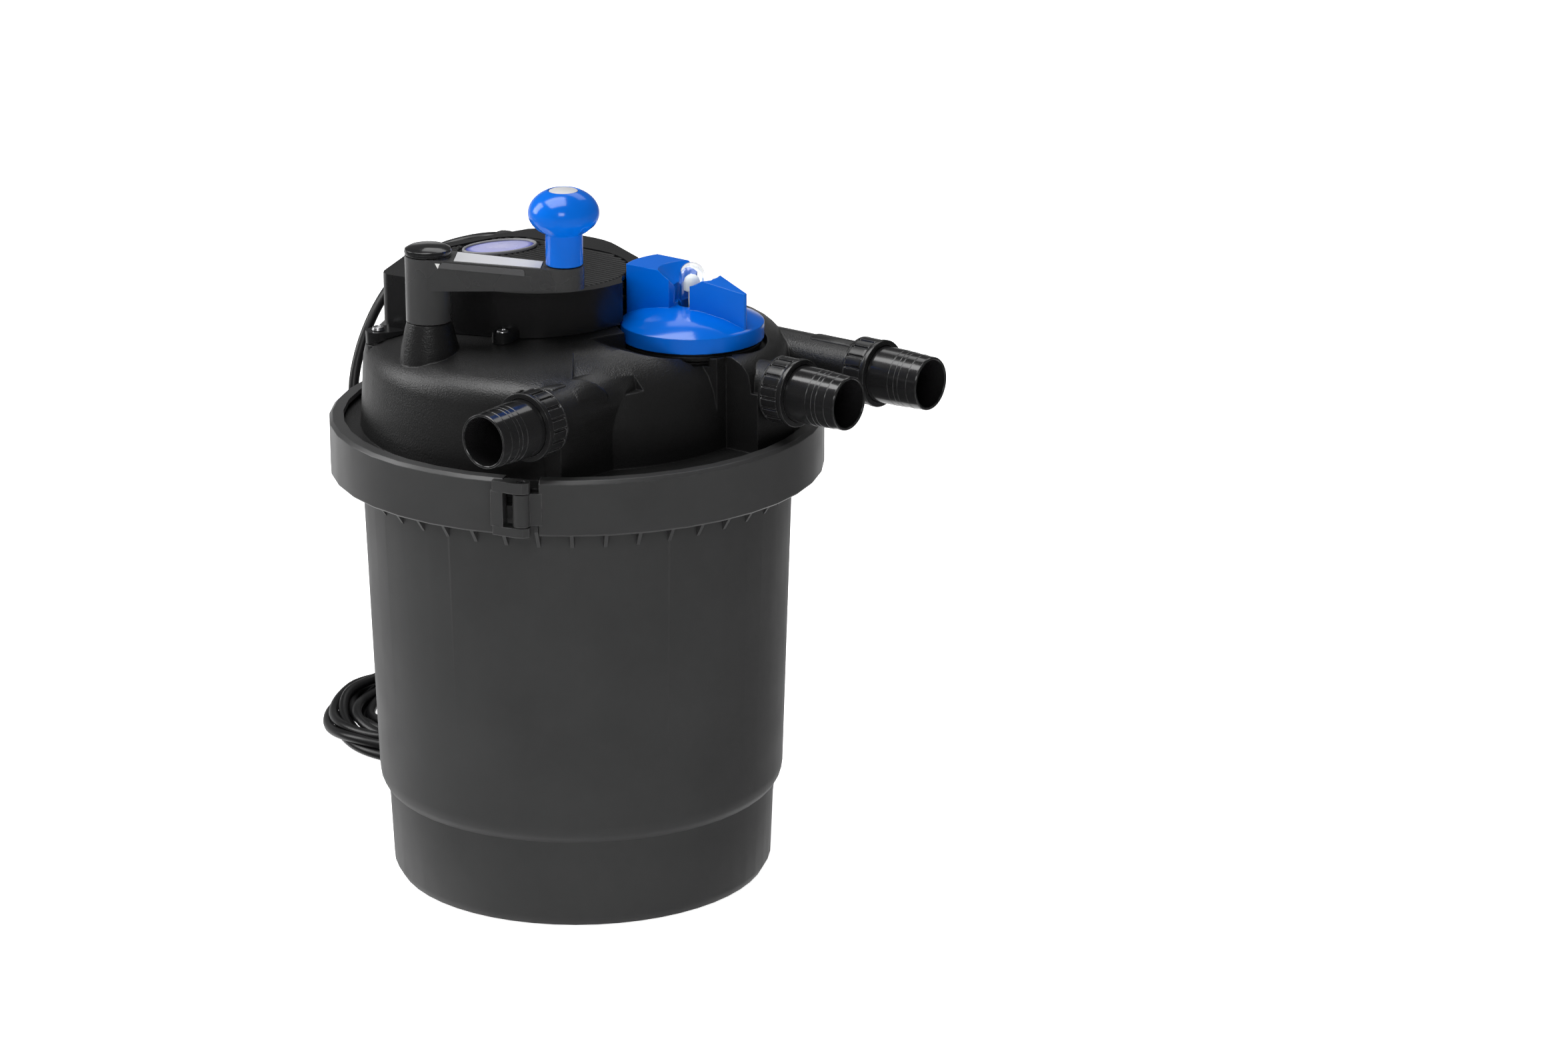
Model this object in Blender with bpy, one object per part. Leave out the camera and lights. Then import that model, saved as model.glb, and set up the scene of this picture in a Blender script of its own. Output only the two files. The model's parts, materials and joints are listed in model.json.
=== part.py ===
"""Pressurised pond filter with a clamp band, an ultraviolet lamp and a crank that turns the foam.

Dimensions are in millimetres and every mesh is built in metres. The origin is the centre of the
canister's underside, +Z is up, and the front hose connector points along -Y.
"""

import math

import bmesh
import bpy
from mathutils import Matrix, Vector, geometry

MM = 0.001
GAP = 0.3
ROUND = 40
# Bodies whose cutters share centres and angles with them, which the EXACT solver leaves open
ALIGNED_BODIES = ("lid", "hollow_cutter", "uv_cover", "cage_gear_plate")

# Canister
BASE_RADIUS = 117.1
SKIRT_RADIUS = 119.2
SKIRT_TOP = 57.0
WALL_FOOT_RADIUS = 124.7
WALL_FOOT = 67.0
WALL_TOP_RADIUS = 131.1
WALL = 3.0
FLANGE_BOTTOM = 268.0
FLANGE_TOP = 275.5
FLANGE_RADIUS = 144.5
GUSSETS = 42
GUSSET_TIP = 246.3

# Clamp band
BAND_RADIUS = 150.0
BAND_INNER = 147.0
BAND_BOTTOM = 259.3
BAND_TOP = 293.0
BAND_LIP = 3.0
TOP_LIP_RADIUS = 141.3
BOTTOM_LIP_RADIUS = 139.5
HINGE_ANGLE = 27.6
LATCH_ANGLE = HINGE_ANGLE + 180.0
HINGE_RADIUS = 151.0
BARREL_RADIUS = 5.0
PIN_RADIUS = 2.2

# Lid
LID_FLANGE_BOTTOM = 281.0
LID_FLANGE_TOP = 287.0
DOME_RADIUS = 131.0
SHOULDER_RADIUS = 115.0
SHOULDER_TOP = 343.0
CROWN_TOP = 356.0
LID_WALL = 4.0
POCKET_RADIUS = 110.0
WEB_FACE = 85.5
WEB_SIDE = 7.0
WEB_LEAN = 6.5
CENTRE_BOSS_RADIUS = 28.0

# (radius, z) of the rounding that the pocket's shoulder is cut to, and of the skin left under it
POCKET_EDGE = (
    (112.0, 300.0),
    (109.6, 313.0),
    (107.4, 323.0),
    (103.4, 332.0),
    (97.0, 339.4),
    (89.0, 345.0),
    (80.0, 348.9),
    (72.0, 351.6),
    (72.0, 368.0),
    (112.0, 368.0),
)
POCKET_EDGE_SKIN = (
    (104.6, 308.0),
    (140.0, 308.0),
    (140.0, 362.0),
    (68.0, 362.0),
    (68.0, 347.4),
    (78.0, 344.4),
    (87.0, 340.3),
    (94.2, 335.0),
    (99.8, 328.2),
    (103.2, 320.0),
)

# Valve and hose connectors
VALVE = (69.0, 26.0)
TOWER_RADIUS = 37.5
TOWER_TOP = 343.0
CHAMBER_RADIUS = 30.0
CHAMBER_FLOOR = 311.0
PORT_HEIGHT = 323.4
DISH_RADIUS = 44.6
DISH_FLOOR = 337.5
STUB_RADIUS = 15.3
STUB_BORE = 12.5
STUB_SETBACK = 7.4
FRONT_PIPE_RADIUS = 18.0
NUT_RADIUS = 20.4
NUT_LENGTH = 17.0
NUT_ROOM = 22.4
TAIL_RADIUS = 16.1
TAIL_ROOT_RADIUS = 17.0
TAIL_LENGTH = 35.5
# name: (x, y) of the nut's front face and the heading of the pipe, in degrees from +X
CONNECTORS = {
    "front": ((68.0, -128.3), -90.0),
    "side": ((151.5, 25.5), 0.0),
    "rear": ((164.5, 89.0), 0.0),
}
# How far each pipe and its bore run back from the nut's front face
STUB_REACH = {"front": 122.0, "side": 62.0, "rear": 84.0}
BORE_REACH = {"front": 150.0, "side": 70.0, "rear": 96.0}

# Selector dial
DIAL_BOTTOM = 345.0
DIAL_RIM_TOP = 355.0
DIAL_CENTRE_TOP = 364.5
DIAL_RADIUS = 43.3
WING_RADIUS = 41.2
SIGHT_RADIUS = 7.9
SIGHT_TOP = 390.0

# Ultraviolet lamp cover: centre and radius of each circle that its outline wraps
COVER_TOP = 380.0
COVER_WALL = 3.0
COVER_CIRCLES = (
    (-20.0, -8.0, 62.0),
    (-81.0, -68.5, 9.0),
    (-74.0, 50.0, 15.0),
    (-52.0, -18.0, 55.0),
    (-40.0, 20.0, 46.0),
)
TIP = (-74.0, 50.0, 15.0)
GLAND_HEADING = 147.0
GLAND_HEIGHT = 363.0
GLAND_REACH = 39.0
BADGE_CENTRE = (-71.5, 13.3)
BADGE_TURN = 67.5
WINDOW = (-8.0, -5.0)
WINDOW_RADIUS = 8.0
COVER_SCREWS = {
    "corner": (-81.5, -87.0, 341.0),
    "front": (2.5, -70.0, 352.2),
    "back": (-4.0, 54.5, 353.5),
    "tip": (-92.5, 62.0, 345.0),
}

# Crank
CRANK = (-29.0, -99.4)
CRANK_ANGLE = 35.0
CRANK_THROW = 80.4
HUB_RADIUS = 13.7
HUB_BOTTOM = 365.6
HUB_TOP = 405.0
ARM_BOTTOM = 386.2
ARM_END_TOP = 398.0
SOCKET_RADIUS = 11.8
SOCKET_TOP = 399.8
SHAFT_RADIUS = 6.0
KNOB_TOP = 445.0

# Foam cage and its gears
CAGE_TEETH = 60
PINION_TEETH = 12
GEAR_CENTRES = math.hypot(*CRANK)
MODULE = 2.0 * GEAR_CENTRES / (CAGE_TEETH + PINION_TEETH)
GEAR_BOTTOM = 293.0
GEAR_TOP = 300.0
FOAM_RADIUS = 97.0
FOAM_BORE = 34.0
FOAM_DISCS = 4
FOAM_BOTTOM = 58.0
FOAM_TOP = 286.0
TUBE_RADIUS = 32.5
ROD_CIRCLE = 74.0

# Cord
CORD_RADIUS = 3.25
COIL_CENTRE = (-225.0, 140.7)
COIL_OUTER = 93.0
COIL_INNER = 57.0
COIL_HEIGHT = 26.0
PLUG_BACK = (-103.5, 187.8)
PLUG_HEADING = 8.0
# Points of the lead from the gland down to the coil
LEAD_ROUTE = (
    (-106.8, 71.4, 363.0),
    (-115.5, 77.0, 363.0),
    (-127.0, 84.2, 362.3),
    (-142.0, 88.0, 360.0),
    (-159.5, 83.5, 356.0),
    (-172.5, 70.0, 351.0),
    (-178.5, 51.0, 344.0),
    (-179.5, 33.0, 334.5),
    (-180.0, 16.0, 318.5),
    (-179.5, 2.0, 298.0),
    (-176.5, -8.0, 276.0),
    (-171.0, -11.0, 252.0),
    (-166.0, -5.5, 226.0),
    (-163.2, 7.7, 195.0),
    (-163.8, 23.5, 160.0),
    (-168.7, 39.8, 122.0),
    (-175.6, 53.0, 88.0),
    (-182.5, 63.0, 60.0),
    (-184.2, 71.4, 41.0),
    (-178.4, 81.1, 31.5),
    (-167.4, 90.1, 29.8),
)
# Points of the lead from the coil to the back of the plug
TAIL_ROUTE = (
    (-130.5, 161.7, 12.0),
    (-126.7, 172.1, 12.0),
    (-119.6, 180.6, 12.0),
    (-112.0, 185.3, 12.0),
    (-105.1, 187.58, 12.0),
)


def crown(x, y):
    """Height of the lid's crown over the point (x, y)."""
    return CROWN_TOP - (CROWN_TOP - SHOULDER_TOP) * (math.hypot(x, y) / SHOULDER_RADIUS) ** 2


def polar(radius, degrees, centre=(0.0, 0.0)):
    angle = math.radians(degrees)
    return (centre[0] + radius * math.cos(angle), centre[1] + radius * math.sin(angle))


def from_front(degrees):
    """Angle from +X of a direction given in degrees from -Y towards +X."""
    return degrees - 90.0


ROD_PLACES = [polar(ROD_CIRCLE, 30.0 + 120.0 * k) for k in range(3)]


# ---------------------------------------------------------------- scene and materials


def clear_scene():
    for obj in list(bpy.data.objects):
        bpy.data.objects.remove(obj, do_unlink=True)


def make_material(name, colour, roughness, metallic=0.0, alpha=1.0):
    material = bpy.data.materials.new(name)
    material.use_nodes = True
    shader = material.node_tree.nodes["Principled BSDF"]
    shader.inputs["Base Color"].default_value = (*colour, 1.0)
    shader.inputs["Roughness"].default_value = roughness
    shader.inputs["Metallic"].default_value = metallic
    shader.inputs["Alpha"].default_value = alpha
    return material


def make_materials():
    return {
        "canister": make_material("canister_plastic", (0.055, 0.055, 0.056), 0.5),
        "band": make_material("band_plastic", (0.05, 0.05, 0.051), 0.42),
        "lid": make_material("lid_plastic", (0.02, 0.02, 0.02), 0.6),
        "cover": make_material("cover_plastic", (0.045, 0.045, 0.045), 0.5),
        "gloss_black": make_material("gloss_black", (0.01, 0.01, 0.011), 0.22),
        "nut": make_material("nut_plastic", (0.014, 0.014, 0.014), 0.3),
        "rubber": make_material("seal_rubber", (0.012, 0.012, 0.012), 0.8),
        "blue": make_material("blue_plastic", (0.0, 0.105, 0.68), 0.25),
        "clear": make_material("clear_plastic", (0.9, 0.93, 0.95), 0.05, alpha=0.35),
        "badge": make_material("badge_face", (0.5, 0.5, 0.85), 0.3),
        "grey": make_material("grey_plastic", (0.35, 0.35, 0.34), 0.4),
        "steel": make_material("steel", (0.55, 0.55, 0.55), 0.3, metallic=1.0),
        "brass": make_material("nickel_gland", (0.7, 0.68, 0.62), 0.3, metallic=1.0),
        "foam_blue": make_material("foam_blue", (0.03, 0.09, 0.3), 0.95),
        "foam_yellow": make_material("foam_yellow", (0.55, 0.42, 0.1), 0.95),
        "cage": make_material("cage_plastic", (0.03, 0.03, 0.032), 0.5),
        "white": make_material("white_plastic", (0.8, 0.8, 0.78), 0.4),
        "cord": make_material("cord_rubber", (0.012, 0.012, 0.013), 0.5),
    }


# ---------------------------------------------------------------- mesh tools


def finish_mesh(name, mesh, sharp_degrees=35.0):
    bmesh.ops.remove_doubles(mesh, verts=mesh.verts, dist=1e-4)
    bmesh.ops.recalc_face_normals(mesh, faces=mesh.faces)
    bmesh.ops.scale(mesh, vec=(MM, MM, MM), verts=mesh.verts)
    data = bpy.data.meshes.new(name)
    mesh.to_mesh(data)
    mesh.free()
    data.shade_smooth()
    data.set_sharp_from_angle(angle=math.radians(sharp_degrees))
    return data


def add_object(name, mesh, material=None, parent=None):
    """A new object from a bmesh in millimetres, in its parent's frame."""
    obj = bpy.data.objects.new(name, finish_mesh(name, mesh))
    if material is not None:
        obj.data.materials.append(material)
    bpy.context.scene.collection.objects.link(obj)
    obj.parent = parent
    return obj


def turned(profile, segments=ROUND, start=0.0, centre=(0.0, 0.0)):
    """A solid of revolution of (radius, z) points, closed, or open with both ends on the axis."""
    mesh = bmesh.new()
    rings = []
    for radius, z in profile:
        count = 1 if radius == 0.0 else segments
        points = [polar(radius, start + 360.0 * k / segments, centre) for k in range(count)]
        rings.append([mesh.verts.new((x, y, z)) for x, y in points])
    pairs = list(zip(rings, rings[1:]))
    if profile[0][0] != 0.0 or profile[-1][0] != 0.0:
        pairs.append((rings[-1], rings[0]))
    for lower, upper in pairs:
        for k in range(segments):
            after = (k + 1) % segments
            if len(lower) == 1 and len(upper) == 1:
                continue
            if len(lower) == 1:
                mesh.faces.new((lower[0], upper[k], upper[after]))
            elif len(upper) == 1:
                mesh.faces.new((lower[k], upper[0], lower[after]))
            else:
                mesh.faces.new((lower[k], lower[after], upper[after], upper[k]))
    return mesh


def sector(profile, first, last, step=6.0):
    """Part of a ring: the closed (radius, z) profile swept about Z from one angle to the other."""
    mesh = bmesh.new()
    steps = max(1, round((last - first) / step))
    angles = [first + (last - first) * k / steps for k in range(steps + 1)]
    rings = [[mesh.verts.new((*polar(r, a), z)) for r, z in profile] for a in angles]
    for one, two in zip(rings, rings[1:]):
        for k in range(len(profile)):
            after = (k + 1) % len(profile)
            mesh.faces.new((one[k], one[after], two[after], two[k]))
    mesh.faces.new(rings[0])
    mesh.faces.new(rings[-1])
    return mesh


def prism(outline, bottom, top):
    """An upright prism. Its bottom and top are heights, or functions of x and y."""

    def level(height, x, y):
        return height(x, y) if callable(height) else height

    mesh = bmesh.new()
    low = [mesh.verts.new((x, y, level(bottom, x, y))) for x, y in outline]
    high = [mesh.verts.new((x, y, level(top, x, y))) for x, y in outline]
    for k in range(len(outline)):
        after = (k + 1) % len(outline)
        mesh.faces.new((low[k], low[after], high[after], high[k]))
    mesh.faces.new(low)
    mesh.faces.new(high)
    return mesh


def cylinder(radius, bottom, top, centre=(0.0, 0.0), segments=32, top_radius=None):
    last = radius if top_radius is None else top_radius
    profile = ((0.0, bottom), (radius, bottom), (last, top), (0.0, top))
    return turned(profile, segments, centre=centre)


def box(low, high):
    (x0, y0, z0), (x1, y1, z1) = low, high
    return prism(((x0, y0), (x1, y0), (x1, y1), (x0, y1)), z0, z1)


def lying(mesh, place, heading):
    """Turns a mesh built along +Z so that it lies along a heading, with its origin at place."""
    turn = Matrix.Rotation(math.radians(heading), 4, "Z") @ Matrix.Rotation(math.pi / 2, 4, "Y")
    bmesh.ops.transform(mesh, matrix=Matrix.Translation(place) @ turn, verts=mesh.verts)
    return mesh


def circle_points(centre, radius, count=24, start=0.0):
    return [polar(radius, start + 360.0 * k / count, centre) for k in range(count)]


def wrapped(circles, inset=0.0, count=36):
    """The outline that a tight loop round the circles has, each circle smaller by the inset."""
    points = []
    for x, y, radius in circles:
        points += circle_points((x, y), radius - inset, count)
    hull = [points[k] for k in geometry.convex_hull_2d([Vector(p) for p in points])]
    kept = [hull[0]]
    for point in hull[1:]:
        if math.dist(point, kept[-1]) > 4.5:
            kept.append(point)
    return kept


def boolean(target, tool, operation="DIFFERENCE"):
    modifier = target.modifiers.new(tool.name, "BOOLEAN")
    modifier.operation = operation
    modifier.solver = "MANIFOLD" if target.name in ALIGNED_BODIES else "EXACT"
    modifier.object = tool
    tool.hide_render = True
    tool.display_type = "WIRE"
    return tool


def cut(target, name, mesh):
    return boolean(target, add_object(f"{name}_cutter", mesh, parent=target.parent))


def unite(target, name, mesh):
    return boolean(target, add_object(f"{name}_guide", mesh, parent=target.parent), "UNION")


def axis_empty(name, place, rotation=(0.0, 0.0, 0.0), parent=None):
    """An empty on a joint's axis, which carries the pieces that move with it."""
    empty = bpy.data.objects.new(name, None)
    empty.location = [value * MM for value in place]
    empty.rotation_euler = rotation
    empty.parent = parent
    bpy.context.scene.collection.objects.link(empty)
    return empty


# ---------------------------------------------------------------- canister


def canister(materials):
    inner = WALL_TOP_RADIUS - WALL
    profile = (
        (0.0, 0.0),
        (BASE_RADIUS - 9.0, 0.0),
        (BASE_RADIUS - 3.2, 2.2),
        (BASE_RADIUS, 8.0),
        (SKIRT_RADIUS, SKIRT_TOP),
        (SKIRT_RADIUS + 2.6, SKIRT_TOP + 2.4),
        (SKIRT_RADIUS + 4.7, SKIRT_TOP + 6.5),
        (WALL_FOOT_RADIUS, SKIRT_TOP + 12.0),
        (WALL_TOP_RADIUS, FLANGE_BOTTOM),
        (FLANGE_RADIUS, FLANGE_BOTTOM),
        (FLANGE_RADIUS, FLANGE_TOP),
        (inner, FLANGE_TOP),
        (WALL_FOOT_RADIUS - WALL, WALL_FOOT + 6.0),
        (BASE_RADIUS - WALL, 8.0),
        (BASE_RADIUS - 9.0, 4.0),
        (12.0, 4.0),
        (12.0, 46.0),
        (0.0, 46.0),
    )
    body = add_object("canister", turned(profile, 54, start=1.0), materials["canister"])
    fins = bmesh.new()
    spacing = 360.0 / GUSSETS
    for k in range(GUSSETS):
        angle = math.radians(from_front(38.5) + spacing * k)
        out = Vector((math.cos(angle), math.sin(angle), 0.0))
        side = Vector((-out.y, out.x, 0.0)) * 1.1
        corners = ((129.0, FLANGE_BOTTOM + 1.0), (141.5, FLANGE_BOTTOM + 1.0), (138.2, 265.0))
        corners += ((138.2, 258.0), (130.4, GUSSET_TIP), (128.9, GUSSET_TIP))
        one = [fins.verts.new(out * r + side + Vector((0.0, 0.0, z))) for r, z in corners]
        two = [fins.verts.new(out * r - side + Vector((0.0, 0.0, z))) for r, z in corners]
        for j in range(len(corners)):
            after = (j + 1) % len(corners)
            fins.faces.new((one[j], one[after], two[after], two[j]))
        fins.faces.new(one)
        fins.faces.new(two)
    unite(body, "gussets", fins)
    return body


# ---------------------------------------------------------------- clamp band


def band_half(name, first, last, material, parent, shift):
    """One half of the C-section band, between two angles from +X."""
    profile = (
        (BAND_RADIUS - 1.0, BAND_BOTTOM),
        (BAND_RADIUS, BAND_BOTTOM + 1.0),
        (BAND_RADIUS, BAND_TOP - 2.0),
        (BAND_RADIUS - 2.0, BAND_TOP),
        (TOP_LIP_RADIUS, BAND_TOP),
        (TOP_LIP_RADIUS, BAND_TOP - BAND_LIP),
        (BAND_INNER, BAND_TOP - BAND_LIP),
        (BAND_INNER, BAND_BOTTOM + BAND_LIP),
        (BOTTOM_LIP_RADIUS, BAND_BOTTOM + BAND_LIP),
        (BOTTOM_LIP_RADIUS, BAND_BOTTOM),
    )
    mesh = sector(profile, first, last, step=9.0)
    bmesh.ops.translate(mesh, vec=(-shift[0], -shift[1], 0.0), verts=mesh.verts)
    return add_object(name, mesh, material, parent)


def clamp_band(materials, hinge, latch):
    """The fixed half with its hinge fork, the swinging half with its barrel, the pins and the latch lever."""
    hinge_at = polar(HINGE_RADIUS, from_front(HINGE_ANGLE))
    latch_pin_at = polar(BAND_RADIUS + 3.5, from_front(LATCH_ANGLE) + 5.0)
    start = from_front(HINGE_ANGLE)
    plastic = materials["band"]
    fixed = band_half("clamp_band_left", start - 179.75, start - 4.4, plastic, None, (0.0, 0.0))
    swinging = band_half("clamp_band_right", start + 2.2, start + 179.75, plastic, hinge, hinge_at)

    # Fork of the fixed half: two ears with a bore, joined to the band's end
    for name, low, high in (("top", 286.0, 292.6), ("bottom", 259.7, 265.3)):
        ear = [polar(r, start - a) for r, a in ((145.5, 6.5), (152.2, 6.5), (155.6, 1.2), (155.8, -0.6))]
        ear += [polar(r, start - a) for r, a in ((153.6, -1.9), (149.5, -2.0), (146.6, -1.2), (145.5, 1.2))]
        unite(fixed, f"{name}_ear", prism(ear, low, high))
    plate = [polar(r, start - a) for r, a in ((146.0, 7.0), (151.6, 7.0), (153.8, 3.9), (146.0, 3.9))]
    unite(fixed, "fork_plate", prism(plate, 265.0, 286.3))
    cut(fixed, "fork_bore", cylinder(PIN_RADIUS + 0.25, 255.0, 298.0, hinge_at, 16))

    # Barrel of the swinging half, with a neck to the band
    neck = [polar(r, start + a) for r, a in ((147.0, 0.6), (151.0, 0.6), (150.0, 4.5), (147.0, 4.5))]
    neck = [(x - hinge_at[0], y - hinge_at[1]) for x, y in neck]
    unite(swinging, "barrel_neck", prism(neck, 266.0, 285.3))
    unite(swinging, "barrel", cylinder(BARREL_RADIUS, 265.9, 285.4, (0.0, 0.0), 20))
    cut(swinging, "barrel_bore", cylinder(PIN_RADIUS + 0.25, 262.0, 289.0, (0.0, 0.0), 16))
    # Room for the fork's ears in the swinging half's lips
    for name, low, high in (("top", 285.5, 296.0), ("bottom", 256.0, 265.8)):
        room = [polar(r, start + a) for r, a in ((138.0, -1.0), (158.0, -1.0), (158.0, 3.9), (138.0, 3.9))]
        room = [(x - hinge_at[0], y - hinge_at[1]) for x, y in room]
        cut(swinging, f"{name}_room", prism(room, low, high))
    pin = cylinder(PIN_RADIUS, 260.0, 292.3, hinge_at, 16)
    add_object("band_hinge_pin", pin, materials["steel"])

    # Latch: post ears on the fixed half, a catch rib on the swinging half
    gap_angle = from_front(LATCH_ANGLE)
    for name, low, high in (("upper", 283.0, 288.0), ("lower", 264.0, 269.0)):
        ear = [polar(r, gap_angle + a) for r, a in ((148.5, 2.6), (156.4, 3.4), (156.4, 6.6), (148.5, 7.4))]
        unite(fixed, f"latch_{name}_ear", prism(ear, low, high))
    cut(fixed, "latch_bore", cylinder(1.75, 258.0, 294.0, latch_pin_at, 12))
    rib = [polar(r, gap_angle - a) for r, a in ((149.0, 4.6), (152.4, 4.8), (152.4, 6.4), (149.0, 6.6))]
    rib = [(x - hinge_at[0], y - hinge_at[1]) for x, y in rib]
    unite(swinging, "catch_rib", prism(rib, 266.0, 286.0))
    add_object("latch_pin", cylinder(1.5, 263.6, 288.4, latch_pin_at, 12), materials["steel"])

    # Lever: a curved plate with a hooked tooth, and a barrel round the latch pin
    plate = ((153.2, 265.0), (156.2, 265.0), (156.2, 287.0), (153.2, 287.0))
    mesh = sector(plate, gap_angle - 30.0, gap_angle + 2.2, step=8.0)
    bmesh.ops.translate(mesh, vec=(-latch_pin_at[0], -latch_pin_at[1], 0.0), verts=mesh.verts)
    lever = add_object("latch_lever", mesh, materials["band"], latch)

    def local(points):
        return [(x - latch_pin_at[0], y - latch_pin_at[1]) for x, y in points]

    tooth = [polar(r, gap_angle - a) for r, a in ((150.6, 7.2), (150.6, 8.6), (154.0, 8.8), (154.0, 7.2))]
    unite(lever, "lever_tooth", prism(local(tooth), 267.0, 285.0))
    arm = [polar(r, gap_angle + a) for r, a in ((153.4, 1.5), (156.0, 1.5), (155.2, 4.6), (152.0, 4.6))]
    unite(lever, "lever_arm", prism(local(arm), 269.4, 282.6))
    unite(lever, "lever_barrel", cylinder(3.3, 269.4, 282.6, (0.0, 0.0), 16))
    cut(lever, "lever_bore", cylinder(1.75, 260.0, 292.0, (0.0, 0.0), 12))
    grip = [polar(r, gap_angle - a) for r, a in ((154.0, 30.0), (155.8, 30.0), (160.0, 32.5), (158.4, 32.5))]
    unite(lever, "lever_grip", prism(local(grip), 265.0, 287.0))


# ---------------------------------------------------------------- lid


def pocket_outline(margin):
    """The room between the front pipe's web and the side pipe's web, seen from above."""
    radius = POCKET_RADIUS - margin
    face = WEB_FACE - margin
    side = WEB_SIDE + margin
    first = -math.degrees(math.acos(face / radius))
    last = math.degrees(math.asin(side / radius))
    arc = [polar(radius, first + (last - first) * k / 9) for k in range(10)]
    return arc + [(160.0, side), (160.0, -130.0), (face - WEB_LEAN, -130.0)]


def front_slope(depth):
    """The lid slopes down to the dial on its front side."""
    profile = ((43.0, 343.0), (47.5, 343.0), (56.0, 346.0), (72.0, 353.5), (72.0, 366.0), (43.0, 366.0))
    profile = [(r + depth * (r > 50.0), z - depth) for r, z in profile]
    mesh = sector(profile, -112.0 - 1.5 * depth, -20.0 + 1.5 * depth, 10.0)
    bmesh.ops.translate(mesh, vec=(*VALVE, 0.0), verts=mesh.verts)
    return mesh


def pipe_back(depth):
    """The air over the front pipe's right flank, whose round back rises into the crown."""
    mesh = bmesh.new()
    x = CONNECTORS["front"][0][0]
    radius = FRONT_PIPE_RADIUS - depth
    rings = []
    for y, rise in ((-119.0, 0.0), (-104.0, 0.0), (-96.0, 1.0), (-80.0, 3.8), (-62.0, 6.3), (-48.0, 7.9)):
        level = PORT_HEIGHT + rise
        outline = [(x + radius * math.sin(a), level + radius * math.cos(a))
                   for a in [math.radians(15.0 * k) for k in range(7)]]
        outline = [(x - depth, level + radius)] * (depth > 0.0) + outline
        outline += [(110.0, level), (110.0, 372.0), (x - depth, 372.0)]
        rings.append([mesh.verts.new((u, y, z)) for u, z in outline])
    for one, two in zip(rings, rings[1:]):
        for k in range(len(one)):
            after = (k + 1) % len(one)
            mesh.faces.new((one[k], one[after], two[after], two[k]))
    mesh.faces.new(rings[0])
    mesh.faces.new(rings[-1])
    bmesh.ops.recalc_face_normals(mesh, faces=mesh.faces)
    return mesh


def lid_hollow(parent_lid):
    """The space under the lid, which leaves a wall round the pocket, the valve chamber and the pipes."""
    room = [(0.0, 270.0), (DOME_RADIUS - LID_WALL, 270.0), (DOME_RADIUS - LID_WALL, 283.0)]
    room += [(124.6, 326.0), (120.0, 333.6), (110.0, 339.0)]
    room += [(r, crown(r, 0.0) - LID_WALL) for r in (80.0, 45.0, 0.0)]
    hollow = cut(parent_lid, "hollow", turned(room, 36))
    cut(hollow, "pocket_skin", prism(pocket_outline(LID_WALL), 282.9, 370.0))
    cut(hollow, "shoulder_skin", sector(POCKET_EDGE_SKIN, -54.0, 2.0))
    cut(hollow, "slope_skin", front_slope(LID_WALL))
    cut(hollow, "pipe_back_skin", pipe_back(LID_WALL))
    cut(hollow, "tower_skin", cylinder(TOWER_RADIUS, CHAMBER_FLOOR - 3.5, 372.0, VALVE, 24))
    cut(hollow, "dish_skin", cylinder(DISH_RADIUS + LID_WALL, DISH_FLOOR - LID_WALL, 374.0, VALVE, 24))
    x, y = CONNECTORS["front"][0]
    room = cylinder(NUT_ROOM + LID_WALL, -NUT_LENGTH - 4.6, 20.0, segments=20)
    cut(hollow, "nut_room_skin", lying(room, (x, y, PORT_HEIGHT), -90.0))
    for name, ((x, y), heading) in CONNECTORS.items():
        skin = lying(cylinder(STUB_RADIUS, -STUB_REACH[name], 0.0, segments=14), (x, y, PORT_HEIGHT), heading)
        cut(hollow, f"{name}_skin", skin)


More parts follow.
